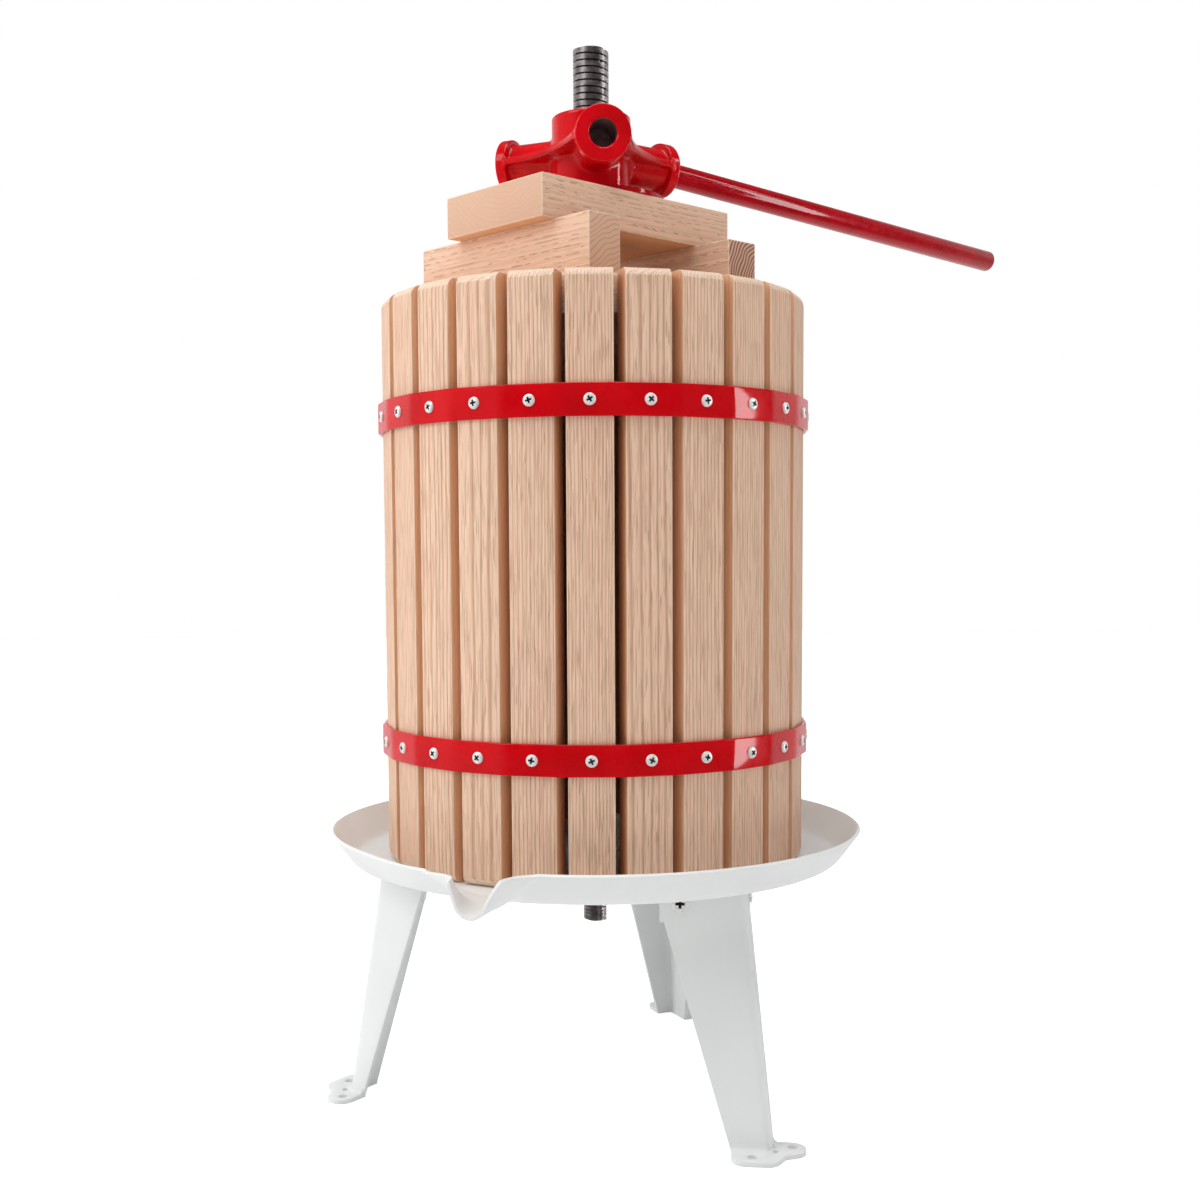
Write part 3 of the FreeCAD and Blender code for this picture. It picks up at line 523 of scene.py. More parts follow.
def markTimber(mesh, toOwn, turn=0.0, shift=(0.08, 0.09, 0.0), tone=0.5, round=False, shaded=False,
               endRings=0.5, faceRings=0.2):
    # writes where each point lies in its own piece of wood, whose Z runs along the grain
    own = Matrix.Translation(Vector(shift)) @ Matrix.Rotation(turn, 4, "Z") @ toOwn
    place = mesh.attributes.new("timberPlace", "FLOAT_VECTOR", "POINT")
    place.data.foreach_set("vector", np.array([own @ v.co for v in mesh.vertices], np.float32).ravel())
    mesh.attributes.new("timberTone", "FLOAT", "POINT").data.foreach_set("value", [tone] * len(mesh.vertices))
    swing = toOwn.to_3x3()
    normals = [swing @ face.normal for face in mesh.polygons]
    marks = {
        "timberEnd": [abs(n.z) > 0.8 for n in normals],
        # timberEdge marks the eased edges for a painted highlight
        "timberEdge": [max(abs(c) for c in n) < 0.97 and not (round and abs(face.normal.z) < 0.3)
                       for n, face in zip(normals, mesh.polygons)],
        # timberShade marks a slat's sides and back and every underside for painted shade
        "timberShade": [shaded and (abs(n.y) > 0.8 or n.x < -0.8) or face.normal.z < -0.8
                        for n, face in zip(normals, mesh.polygons)],
        "timberRings": [endRings if abs(n.z) > 0.8 else faceRings for n in normals],
    }
    for title, values in marks.items():
        mesh.attributes.new(title, "FLOAT", "FACE").data.foreach_set("value", [float(v) for v in values])


slats = {"count": 25, "first": -1.65, "outerFace": 144.3, "width": 29.0, "thickness": 20.0, "bottom": 168.0,
         "length": 380.0, "endRound": 6.5, "edgeRound": 0.6, "endEase": 0.5, "seed": 11}


def slatMesh(s):
    # One slat at azimuth 90, as rings of points from its foot to its head.
    half, r = s["width"] / 2, s["edgeRound"]

    def ring(height, inset, shrink):
        front, side = s["outerFace"] - inset - shrink, half - shrink
        back = s["outerFace"] - s["thickness"] + shrink
        outline = roundedOutline([(back, -side, r), (front, -side, r), (front, side, r), (back, side, r)], 3)
        return [(x, y, s["bottom"] + height) for x, y in outline]

    levels = [(0.0, s["endRound"], s["endEase"]),
              (s["endEase"] * 0.35, s["endRound"] * 0.72, s["endEase"] * 0.3)]
    for degrees in (20, 34, 48, 62, 76, 90):
        a = math.radians(degrees)
        levels.append((s["endRound"] * (1 - math.cos(a)), s["endRound"] * (1 - math.sin(a)), 0.0))
    levels += [(s["length"] - z, inset, shrink) for z, inset, shrink in reversed(levels)]
    rings = [ring(*level) for level in levels]
    return meshOf("slat", [p for loop in rings for p in loop], cappedFaces(len(rings), len(rings[0])))


def buildSlats():
    mesh = slatMesh(slats)
    markTimber(mesh, Matrix.Translation((-0.1343, 0, -0.358)), shaded=True, faceRings=0.6)
    piece = newPiece("basketSlats", mesh, slatTimber, 30)
    growWith(piece, timberRepeat, {
        "Count": slats["count"], "First Turn": math.radians(slats["first"] - 90), "Radius": 0.0, "Level": 0.0,
        "Own Spin": 0.0, "Wobble": 0.0005, "Seed": slats["seed"], "Material": slatTimber})
    assign(piece, "basket", "slat_wood", *[f"slat_{i + 1:02d}" for i in range(slats["count"])])


buildSlats()
print("slats ready")


hoops = {"height": 20.0, "thickness": 3.0, "edgeRound": 0.8, "cornerRun": 4.5, "levels": (250.5, 469.0)}


def hoopMesh(h, level):
    # A strip lying flat on every slat, bent over the gap between two.
    count = slats["count"]
    half = math.pi / count
    bend = h["cornerRun"] / math.tan(half)
    path = []
    for k in range(count):
        corner = math.radians(slats["first"] - 90) + half * (2 * k + 1)
        arcCentre = (slats["outerFace"] - bend) / math.cos(half)
        for s in range(5):
            turn = corner + half * (s / 2 - 1)
            outward = (math.cos(turn), math.sin(turn))
            path.append((arcCentre * math.cos(corner) + bend * outward[0],
                         arcCentre * math.sin(corner) + bend * outward[1], outward))
    r, t, high = h["edgeRound"], h["thickness"], h["height"] / 2
    section = roundedOutline([(0, -high, r), (t, -high, r), (t, high, r), (0, high, r)], 3)
    points = [(x + o[0] * out, y + o[1] * out, level + up) for x, y, o in path for out, up in section]
    return meshOf("hoop", points, bandFaces(len(path), len(section), closed=True))


screwHead = {"radius": 3.8, "height": 1.7, "slotLength": 2.45, "slotWidth": 0.68, "slotDepth": 1.35}


def crossHeadMesh(s, scale=1.0):
    # A pan head with its crossed recess, its axis along +X from the face it sits on.
    r, h = s["radius"] * scale, s["height"] * scale
    profile = [(0, -0.15), (r * 0.97, -0.15), (r, 0.12 * h), (r * 0.985, 0.35 * h), (r * 0.93, 0.62 * h),
               (r * 0.80, 0.83 * h), (r * 0.58, 0.95 * h), (r * 0.3, h), (0, h * 1.01)]
    head = newPiece("crossHead", lathe("crossHead", profile, 28), brightZinc, 40)
    cutters = []
    for turned in (False, True):
        points = []
        for level, share in ((h * 1.3, 1.0), (h - s["slotDepth"] * scale, 0.45)):
            a, b = s["slotLength"] * scale * share, s["slotWidth"] * scale * (0.5 + share / 2)
            a, b = (b, a) if turned else (a, b)
            points += [(-a, -b, level), (a, -b, level), (a, b, level), (-a, b, level)]
        faces = [(0, 1, 2, 3), (7, 6, 5, 4)] + bandFaces(2, 4)
        cutters.append(newPiece("recess", meshOf("recess", points, faces), brightZinc))
    carve(head, cutters)
    # faces inside the crossed recess, marked for painted shade
    sunk = []
    for face in head.data.polygons:
        middle = face.center / mm
        fromAxis = math.hypot(middle.x, middle.y)
        wall = abs(face.normal.z) < 0.75 and fromAxis < s["slotLength"] * scale * 0.99
        sunk.append(float(wall or (middle.z < 0.7 * h and fromAxis < 0.6 * r and face.normal.z > 0)))
    head.data.attributes.new("recess", "FLOAT", "FACE").data.foreach_set("value", sunk)
    head.data.transform(rotation(90, "Y"))
    return head


def buildHoops():
    for end, level in zip(("lower", "upper"), hoops["levels"]):
        strip = newPiece(f"{end}HoopStrip", hoopMesh(hoops, level), hoopPaint, 30)
        assign(strip, "basket", "red_paint", f"{end}_hoop")
        heads = crossHeadMesh(screwHead)
        heads.name = f"{end}HoopScrews"
        growWith(heads, plainRepeat, {
            "Count": slats["count"], "First Turn": math.radians(slats["first"] - 90),
            "Radius": (slats["outerFace"] + hoops["thickness"]) * mm, "Level": level * mm,
            "Own Spin": math.pi, "Wobble": 0.02, "Seed": int(level), "Material": brightZinc})
        assign(heads, "basket", "bright_zinc")


buildHoops()
print("hoops ready")


tray = {"underside": 166.0, "sheet": 2.0, "floorRadius": 170.0, "rimRadius": 185.0, "rimLevel": 187.0,
        "bendSoftness": 1.6, "holeRadius": 8.05, "spoutAzimuth": -21.0, "rootReach": 160.0, "lipReach": 210.0,
        "drop": 2.0, "lipWidth": 31.6, "lipRound": 10.4, "lipOffset": 1.3, "lipSkew": 0.9, "cornerCut": 0.085,
        "cornerStart": 7.0, "cornerMost": 20.0, "dip": 3.3, "dipTurn": -17.0, "dipSpread": 13.0,
        "flare": 30.0, "flareRight": 0.40, "flareReach": 184.5, "flareRun": 7.5, "blend": 7.0}


def troughHeight(across, halfWidth, bottomRound, depth):
    # U section: a round bottom, then sides that reach halfWidth at depth
    rise = depth - bottomRound
    slope = np.arcsin(bottomRound / np.hypot(halfWidth, rise)) + np.arctan2(rise, halfWidth)
    edge = bottomRound * np.sin(slope)
    x = np.abs(across)
    inner = bottomRound - np.sqrt(np.maximum(bottomRound ** 2 - np.minimum(x, edge) ** 2, 0))
    return inner + np.maximum(x - edge, 0) * np.tan(slope)


def trayHeight(x, y):
    # how far the sheet's outer face stands above the underside, the spout running along +X
    t = tray
    rimHeight = t["rimLevel"] - t["underside"]
    radius = np.hypot(x, y)
    slope = rimHeight / (t["rimRadius"] - t["floorRadius"])
    wall = slope * t["bendSoftness"] * np.logaddexp(0, (radius - t["floorRadius"]) / t["bendSoftness"])
    opening = t["flare"] * np.exp((t["flareReach"] - np.maximum(x, t["flareReach"] - 1)) / t["flareRun"])
    aside = y + t["lipOffset"]          # the trough was pressed a little off its centre line
    opening = opening * np.where(aside > 0, t["flareRight"], 1)
    halfWidth = t["lipWidth"] / 2 + opening + np.where(aside < 0, -t["lipSkew"], t["lipSkew"])
    bottomRound = t["lipRound"] + opening * 0.55
    fall = t["drop"] * np.clip((x - t["rootReach"]) / (t["lipReach"] - t["rootReach"]), 0, 1)
    trough = troughHeight(aside, halfWidth, bottomRound, rimHeight + fall) - fall
    trough = trough + np.maximum(150 - x, 0) * 0.8      # keeps the trough off the floor
    k = t["blend"] * np.clip(np.minimum(wall, np.maximum(trough, 0)) / 6, 0.02, 1)
    h = np.clip(0.5 + 0.5 * (trough - wall) / k, 0, 1)
    return trough + (wall - trough) * h - k * h * (1 - h)


def buildTray():
    t = tray
    rimHeight = t["rimLevel"] - t["underside"]
    # columns close together at the spout
    spread = np.linspace(-1, 1, 321)
    turns = math.pi * (0.16 * spread + 0.84 * spread ** 3 * np.abs(spread))[:-1]
    c, s = np.cos(turns), np.sin(turns)
    # the sheet ends where it reaches the rim's level, or at the lip
    low, high = np.full(turns.shape, t["floorRadius"] - 20), np.full(turns.shape, t["lipReach"] + 30)
    sag = t["dip"] * np.exp(-((np.degrees(turns) - t["dipTurn"]) / t["dipSpread"]) ** 2)
    for _ in range(40):
        middle = (low + high) / 2
        corner = t["cornerCut"] * np.maximum(middle * s - t["cornerStart"], 0) ** 2
        cut = t["lipReach"] - np.minimum(corner, t["cornerMost"])
        over = (trayHeight(middle * c, middle * s) > rimHeight - sag) | (middle * c > cut)
        low, high = np.where(over, low, middle), np.where(over, middle, high)
    ends = (low + high) / 2
    shares = np.concatenate([np.linspace(0, 0.80, 12)[:-1], np.linspace(0.80, 1, 30)])
    rows = t["holeRadius"] + (ends[None, :] - t["holeRadius"]) * shares[:, None]
    x, y = rows * c, rows * s
    z = t["underside"] + trayHeight(x, y)
    points = np.stack([x, y, z], -1).reshape(-1, 3)
    mesh = bpy.data.meshes.new("tray")
    mesh.from_pydata([tuple(p * mm) for p in points], [], bandFaces(len(shares), len(turns)))
    piece = newPiece("spoutedTray", mesh, whiteCoat, 60)
    sheet = piece.modifiers.new("sheet", "SOLIDIFY")
    sheet.thickness = t["sheet"] * mm
    sheet.offset = -1.0     # the sheet lies inside the outer face
    sheet.use_even_offset = True
    settle(piece)
    softenEdges(piece, 0.5, 2, 60)
    piece.data.transform(facing(t["spoutAzimuth"]))
    assign(piece, "stand", "white_coating", "tray")


buildTray()
print("tray ready")


legs = {"azimuth": 38.0, "sheet": 3.0, "top": 166.0, "topRadius": 152.0, "footRadius": 177.0,
        "topWide": 59.0, "topNarrow": 46.0, "footWide": 27.0, "footNarrow": 15.0, "bend": 7.0,
        "tab": 20.0, "shoulder": 1.0, "notch": 7.0, "tabRound": 9.0, "hole": 3.3, "holeReach": 11.5,
        "relief": 2.0, "footBend": 3.0, "screwDrop": 11.0, "screwWide": 43.0, "screwNarrow": 29.0,
        "screwScale": 1.47}


def legMesh(g):
    # In the leg's own frame the fold lies on the diagonal of X and Y.
    sheet, bend = g["sheet"], g["bend"]
    footCorner, topCorner = g["footRadius"] / math.sqrt(2), g["topRadius"] / math.sqrt(2)

    def section(corner, wide, narrow, level):
        outer = roundedOutline([(corner, corner - wide, 0), (corner, corner, bend),
                                (corner - narrow, corner, 0)], 7)
        k = corner - sheet
        inner = roundedOutline([(corner - narrow, k, 0), (k, k, bend - sheet), (k, corner - wide, 0)], 7)
        return [(x, y, level) for x, y in outer + inner]

    rings = [section(footCorner, g["footWide"], g["footNarrow"], 1.0),
             section(topCorner, g["topWide"], g["topNarrow"], g["top"])]
    leg = newPiece("legs", meshOf("leg", rings[0] + rings[1], cappedFaces(2, len(rings[0]))), whiteCoat)

    k, r = footCorner, g["tabRound"]
    reach, inner = k + g["tab"], k - sheet
    plate = prism("plate", roundedOutline([
        (reach, k - g["footWide"], r), (reach, k + g["shoulder"], r), (k + g["notch"], k + g["notch"], 1.5),
        (k + g["shoulder"], reach, r), (k - g["footNarrow"], reach, r), (k - g["footNarrow"], inner, 0),
        (inner, inner, 0), (inner, k - g["footWide"], 0)]), 0, sheet, whiteCoat)

    # the concave bend between a flange and its tab
    b = g["footBend"]
    curve = [(-1, sheet - 1), (b, sheet - 1)]
    curve += [(b - b * math.sin(a), sheet + b - b * math.cos(a)) for a in np.linspace(0, math.pi / 2, 6)]
    curve += [(-1, sheet + b)]
    fillets = []
    for start, other in ((k - g["footWide"], False), (k - g["footNarrow"], True)):
        points = []
        for spot in (start, k - bend * 0.6):
            for out, up in curve:
                points.append((spot, k + out, up) if other else (k + out, spot, up))
        fillets.append(newPiece("fillet", meshOf("fillet", points, cappedFaces(2, len(curve))), whiteCoat))
    carve(leg, [plate] + fillets, "UNION")
    drills = [(k + g["holeReach"], k - g["footWide"] / 2, g["hole"]),
              (k - g["footNarrow"] / 2, k + g["holeReach"], g["hole"]),
              (k + g["shoulder"], k + g["shoulder"], g["relief"])]
    carve(leg, [prism("drill", disc(x, y, radius), -2, 8, whiteCoat) for x, y, radius in drills])
    softenEdges(leg, 0.4, 2, 50)
    return leg


def flangeSpots(g):
    # where the screws' heads sit on a leg's two flanges, in the leg's frame
    lean = (g["footRadius"] - g["topRadius"]) / math.sqrt(2) / (g["top"] - g["sheet"])
    corner, level = g["topRadius"] / math.sqrt(2) + g["screwDrop"] * lean, g["top"] - g["screwDrop"]
    tilt = math.atan(lean)
    outWide = Vector((math.cos(tilt), 0, math.sin(tilt)))
    outNarrow = Vector((0, math.cos(tilt), math.sin(tilt)))
    return [(Vector((corner, corner - g["screwWide"], level)), outWide),
            (Vector((corner - g["screwNarrow"], corner, level)), outNarrow)]


def buildLegs():
    thirds = {"Count": 3, "First Turn": math.radians(legs["azimuth"] - 45 - 90), "Radius": 0.0, "Level": 0.0,
              "Own Spin": 0.0, "Wobble": 0.0, "Seed": 1}
    leg = growWith(legMesh(legs), plainRepeat, {**thirds, "Material": whiteCoat})
    leg.name = "foldedLegs"
    assign(leg, "stand", "white_coating", "right_leg", "rear_leg", "left_leg")

    heads = []
    for spot, outward in flangeSpots(legs):
        head = crossHeadMesh(screwHead, legs["screwScale"])
        head.data.transform(outward.to_track_quat("X", "Z").to_matrix().to_4x4())
        head.data.transform(Matrix.Translation(spot * mm))
        heads.append(head)
    carve(heads[0], heads[1:], "UNION")
    growWith(heads[0], plainRepeat, {**thirds, "Material": brightZinc})
    heads[0].name = "legScrewHeads"
    assign(heads[0], "stand", "bright_zinc", "leg_screws")


def softCopy(name, node, material, width):
    # a CAD node's own shape with its edges eased
    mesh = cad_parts[node].data.copy()
    merged = bmesh.new()
    merged.from_mesh(mesh)
    bmesh.ops.remove_doubles(merged, verts=merged.verts, dist=1e-6)
    bmesh.ops.dissolve_limit(merged, angle_limit=math.radians(1), verts=merged.verts, edges=merged.edges)
    merged.to_mesh(mesh)
    merged.free()
    piece = newPiece(name, mesh, material)
    softenEdges(piece, width)
    return piece


def buildBrackets():
    for side in ("right", "rear", "left"):
        piece = softCopy(f"{side}CornerBracket", f"{side}_bracket", whiteCoat, 0.35)
        assign(piece, "stand", "white_coating", f"{side}_bracket")


buildLegs()
buildBrackets()
print("legs ready")


spindle = {"bottom": 117.0, "shoulder": 168.0, "top": 720.0, "centreHole": 3.0, "centreDepth": 2.0}
threads = {
    "main": {"radius": 12.0, "core": 9.9, "pitch": 4.4, "crest": 1.3, "base": 3.3},
    "end": {"radius": 8.0, "core": 6.2, "pitch": 2.5, "crest": 0.8, "base": 1.9},
}
clampNuts = [{"flats": 24.0, "height": 14.0, "bore": 8.05, "level": 152.0},
             {"flats": 36.0, "height": 24.0, "bore": 12.05, "level": 168.0}]


def threadTree():
    # A ridge of trapezoid section swept up a helix.
    tree, given = newTree("threadRidge", {title: "Float" for title in (
        "Turns", "Height", "Low", "Core", "Crest Radius", "Crest Width", "Base Width")})
    depth = maths(tree, "SUBTRACT", given["Crest Radius"], given["Core"])
    midway = maths(tree, "DIVIDE", maths(tree, "ADD", given["Crest Radius"], given["Core"]), 2.0)
    helix = geometryNode(tree, "CurveSpiral", {
        "Resolution": 26, "Rotations": given["Turns"], "Start Radius": midway, "End Radius": midway,
        "Height": given["Height"]})
    lift = addNode(tree, "ShaderNodeCombineXYZ", {2: given["Low"]}).outputs[0]
    helix = geometryNode(tree, "SetPosition", {"Geometry": helix, "Offset": lift})
    helix = geometryNode(tree, "SetCurveNormal", {"Curve": helix}, mode="Z_UP")
    section = geometryNode(tree, "CurvePrimitiveQuadrilateral", {
        "Bottom Width": given["Base Width"], "Top Width": given["Crest Width"], "Offset": 0.0,
        "Height": maths(tree, "ADD", depth, 0.0003)}, mode="TRAPEZOID")
    section = geometryNode(tree, "Transform", {"Geometry": section, "Rotation": (0, 0, math.radians(-90))})
    ridge = geometryNode(tree, "CurveToMesh", {"Curve": helix, "Profile Curve": section, "Fill Caps": True})
    both = addNode(tree, "GeometryNodeJoinGeometry")
    tree.links.new(ridge, both.inputs[0])
    tree.links.new(given["Geometry"], both.inputs[0])
    solid = geometryNode(tree, "RealizeInstances", {"Geometry": both.outputs[0]})
    return endTree(tree, solid, given["Material"])


def hexNutMesh(n):
    # the corners are turned off at 30 degrees, top and bottom
    segments, easing, washer = 48, math.tan(math.radians(30)), n["flats"] / 2 * 0.97
    rows = []
    for i in range(segments):
        turn = 2 * math.pi * i / segments
        fromFlat = (turn + math.pi / 6) % (math.pi / 3) - math.pi / 6
        reach = n["flats"] / 2 / math.cos(fromFlat)
        fall = (reach - washer) * easing
        c, s = math.cos(turn), math.sin(turn)
        mouth, top = n["bore"] + 1.2, n["height"]
        loop = [(n["bore"], 1.2), (mouth, 0), (washer, 0), (reach, fall), (reach, top - fall), (washer, top),
                (mouth, top), (n["bore"], top - 1.2)]
        rows.append([(r * c, r * s, n["level"] + z) for r, z in loop])
    return meshOf("hexNut", [p for row in rows for p in row], bandFaces(segments, len(rows[0]), closed=True))


def buildSpindle():
    s = spindle
    core, endCore = threads["main"]["core"], threads["end"]["core"]
    profile = [(0, s["bottom"]), (endCore - 1, s["bottom"]), (endCore, s["bottom"] + 1),
               (endCore, s["shoulder"]), (core, s["shoulder"]), (core, s["top"] - 1), (core - 1, s["top"]),
               (s["centreHole"], s["top"]), (0, s["top"] - s["centreDepth"])]
    bar = newPiece("threadedSpindle", lathe("bar", profile, 40), darkSteel, 30)
    tree = threadTree()
    for which, low, high in (("end", s["bottom"] + 1.2, s["shoulder"] - 1),
                             ("main", s["shoulder"] + 2, s["top"] - 2)):
        t = threads[which]
        growWith(bar, tree, {
            "Turns": (high - low) / t["pitch"], "Height": (high - low) * mm, "Low": low * mm,
            "Core": t["core"] * mm, "Crest Radius": t["radius"] * mm, "Crest Width": t["crest"] * mm,
            "Base Width": t["base"] * mm, "Material": darkSteel})
    bar.data.shade_smooth()
    bar.data.set_sharp_from_angle(angle=math.radians(28))
    assign(bar, "stand", "dark_oxide", "spindle")

    nuts = [newPiece("clampNuts", hexNutMesh(nut), brightZinc) for nut in clampNuts]
    carve(nuts[0], nuts[1:], "UNION")
    assign(nuts[0], "stand", "bright_zinc", "spindle_nuts")


buildSpindle()
print("spindle ready")


boards = {"azimuth": 132.7, "pressRadius": 121.5, "pressThickness": 24.0, "pressTop": 548.0, "gap": 1.0,
          "hole": 14.0, "blockLength": 168.0, "blockWidth": 27.4, "blockHeight": 40.0,
          "blockSpacing": 130.0, "blockShift": 4.0, "topLength": 175.0, "topWidth": 96.0,
          "topThickness": 27.0, "topShift": (-2.0, -1.2), "edgeRound": 0.8}


def buildPressBoards():
    b = boards
    for name, side, turn in (("front", -1, 0.5), ("back", 1, -0.4)):
        edge = b["gap"] / 2
        outer = math.asin(edge / b["pressRadius"])
        inner = math.asin(edge / b["hole"])
        outline = [(b["pressRadius"] * math.cos(a), b["pressRadius"] * math.sin(a))
                   for a in np.linspace(outer, math.pi - outer, 73)]
        outline += [(b["hole"] * math.cos(a), b["hole"] * math.sin(a))
                    for a in np.linspace(math.pi - inner, inner, 19)]
        outline = [(x, y * side) for x, y in outline]
        if side < 0:
            outline.reverse()
        low = b["pressTop"] - b["pressThickness"]
        piece = prism(f"{name}PressBoard", outline, low, b["pressTop"], boardTimber)
        softenEdges(piece, b["edgeRound"], 2, 40)
        toOwn = rotation(-90, "Y") @ Matrix.Translation((0, 0, -0.536))
        markTimber(piece.data, toOwn, turn, (0.06 + side * 0.02, 0.11, side * 0.4), 0.45 + side * 0.15,
                   round=True)
        piece.data.transform(facing(b["azimuth"]))
        assign(piece, "press_pack", "board_wood", f"{name}_press_board")


def buildPlank(name, node, azimuth, low, high, length, width, along, across, wood, hole=0.0,
               timber=boardTimber):
    b = boards
    x0, x1, y0, y1 = along - length / 2, along + length / 2, across - width / 2, across + width / 2
    piece = prism(name, [(x0, y0), (x1, y0), (x1, y1), (x0, y1)], low, high, timber)
    if hole:
        carve(piece, [prism("hole", disc(0, 0, hole, 40), low - 5, high + 5, timber)])
    softenEdges(piece, b["edgeRound"], 3, 40)
    middle = Matrix.Translation((-along * mm, -across * mm, -(low + high) / 2 * mm))
    markTimber(piece.data, rotation(-90, "Y") @ middle, **wood)
    piece.data.transform(facing(azimuth))
    assign(piece, "press_pack", "board_wood", node)


def buildBoards():
    b = boards
    buildPressBoards()
    blockTop = b["pressTop"] + b["blockHeight"]
    for name, side, timber, wood in (
            ("left", 1, boardTimber, {"shift": (-0.081, 0.040, 0.3), "tone": 0.85, "endRings": 0.6}),
            ("right", -1, ringedTimber, {"shift": (-0.008, 0.031, 1.1), "tone": 0.6, "endRings": 1.0})):
        buildPlank(f"{name}Block", f"{name}_block", b["azimuth"] + 90, b["pressTop"], blockTop,
                   b["blockLength"], b["blockWidth"], b["blockShift"], side * b["blockSpacing"] / 2, wood,
                   timber=timber)
    buildPlank("topBoard", "top_board", b["azimuth"], blockTop, blockTop + b["topThickness"],
               b["topLength"], b["topWidth"], *b["topShift"],
               {"turn": 0.1, "shift": (0.05, 0.02, 2.2), "tone": 0.7, "endRings": 0.12}, b["hole"])


buildBoards()
print("boards ready")


castNut = {"azimuth": 6.0, "base": 618.5, "height": 55.5, "bossRadius": 27.0, "axis": 29.0, "reach": 65.0,
           "barrel": 14.5, "collar": 18.5, "collarWidth": 8.0, "bore": 9.1, "boreDepth": 26.0, "thread": 12.1,
           "web": 4.5, "waist": 38.0, "curve": 105.0, "webReach": 61.0, "step": 0.9}


def smoothMin(a, b, k):
    h = np.clip(0.5 + 0.5 * (b - a) / k, 0, 1)
    return b + (a - b) * h - k * h * (1 - h)


def smoothMax(a, b, k):
    return -smoothMin(-a, -b, k)


def armPlace(p):
    # folds the three arms onto one along +X
    radius = np.hypot(p[..., 0], p[..., 1])
    turn = (np.arctan2(p[..., 1], p[..., 0]) + math.pi / 3) % (2 * math.pi / 3) - math.pi / 3
    out, side, up = radius * np.cos(turn), np.abs(radius * np.sin(turn)), p[..., 2] - castNut["axis"]
    return out, np.hypot(side, up), radius, side, up


def castDistance(p):
    # signed distance to the casting's skin
    n = castNut
    z = p[..., 2]
    out, fromAxis, radius, side, up = armPlace(p)
    boss = smoothMax(radius - n["bossRadius"], np.abs(z - n["height"] / 2) - n["height"] / 2, 1.8)
    barrel = smoothMax(fromAxis - n["barrel"], out - n["reach"] + 3, 1.0)
    collar = smoothMax(fromAxis - n["collar"],
                       np.abs(out - n["reach"] + n["collarWidth"] / 2) - n["collarWidth"] / 2, 1.3)
    away = n["waist"] + n["curve"]      # from the spindle's axis to the centre of a hollow side
    hollow = np.hypot(out - away / 2, side - away * math.sqrt(0.75))
    web = smoothMax(np.abs(up) - n["web"] / 2, radius - n["webReach"], 1.5)
    web = smoothMax(web, n["curve"] - hollow, 1.6)
    skin = smoothMin(boss, barrel, 4.0)
    skin = smoothMin(skin, web, 2.4)
    skin = smoothMin(skin, collar, 2.0)
    mouth = np.maximum(out - n["reach"] + 1.0, 0)
    bore = np.maximum(fromAxis - n["bore"] - mouth, n["reach"] - n["boreDepth"] - out)
    skin = smoothMax(skin, -bore, 0.8)
    flare = np.maximum(z - n["height"] + 1.5, 0) + np.maximum(1.5 - z, 0)
    return smoothMax(skin, -(radius - n["thread"] - flare), 0.8)


def netOver(distance, low, high, step):
    # one point in every cell that the skin crosses, one quad round every grid edge that it crosses
    axes = [np.arange(a, b + step, step) for a, b in zip(low, high)]
    grid = np.stack(np.meshgrid(*axes, indexing="ij"), -1)
    inside = distance(grid) < 0
    corners = [inside[i:inside.shape[0] - 1 + i, j:inside.shape[1] - 1 + j, k:inside.shape[2] - 1 + k]
               for i in (0, 1) for j in (0, 1) for k in (0, 1)]
    total = sum(c.astype(int) for c in corners)
    mixed = (total > 0) & (total < 8)
    number = np.full(mixed.shape, -1)
    number[mixed] = np.arange(mixed.sum())
    points = grid[:-1, :-1, :-1][mixed] + step / 2
    faces = []
    for axis in range(3):
        near = np.moveaxis(inside, axis, 0)
        cells = np.moveaxis(number, axis, 0)
        crossed = near[:-1] != near[1:]
        i, j, k = np.nonzero(crossed[:, 1:-1, 1:-1])
        j, k = j + 1, k + 1
        faces.append(np.stack([cells[i, j - 1, k - 1], cells[i, j, k - 1], cells[i, j, k],
                               cells[i, j - 1, k]], -1))
    return points, np.concatenate(faces)


def settleOnto(distance, points, faces, rounds=6):
    # slides the points evenly over the skin
    ends = np.concatenate([faces[:, [0, 1]], faces[:, [1, 2]], faces[:, [2, 3]], faces[:, [3, 0]]])
    small = 0.02
    for turn in range(rounds):
        if turn < rounds - 2:
            total, count = np.zeros_like(points), np.zeros(len(points))
            for a, b in ((0, 1), (1, 0)):
                np.add.at(total, ends[:, a], points[ends[:, b]])
                np.add.at(count, ends[:, a], 1)
            points = points * 0.5 + total / count[:, None] * 0.5
        for _ in range(2):
            value = distance(points)
            slope = np.stack([distance(points + axis * small) - distance(points - axis * small)
                              for axis in np.eye(3)], -1) / (2 * small)
            size = np.maximum((slope ** 2).sum(-1), 0.25)
            points = points - slope * (value / size)[:, None]
    return points


def buildCastNut():
    n = castNut
    wide = n["reach"] + 3
    points, faces = netOver(castDistance, (-wide, -wide, -2.3), (wide, wide, n["height"] + 3), n["step"])
    points = settleOnto(castDistance, points, faces)
    piece = newPiece("castNut", meshOf("castNut", points, faces.tolist()), castPaint, 70)
    # the bores take a dark steel finish: bare metal, drilled after painting, and darker still as painted
    # shade deep in the holes
    piece.data.materials.append(boreSteel)
    spots = np.empty(len(piece.data.polygons) * 3)
    piece.data.polygons.foreach_get("center", spots)
    out, fromAxis, radius = armPlace(spots.reshape(-1, 3) / mm)[:3]
    drilled = (fromAxis < n["bore"] + 0.45) & (out < n["reach"] - 1.2) & (radius > n["bossRadius"] - 1)
    drilled |= radius < n["thread"] + 0.45
    piece.data.polygons.foreach_set("material_index", drilled.astype(int))
    piece.data.transform(Matrix.Translation((0, 0, n["base"] * mm)) @ facing(n["azimuth"]))
    assign(piece, "nut", "red_paint", "cast_nut")


buildCastNut()
print("cast nut ready")


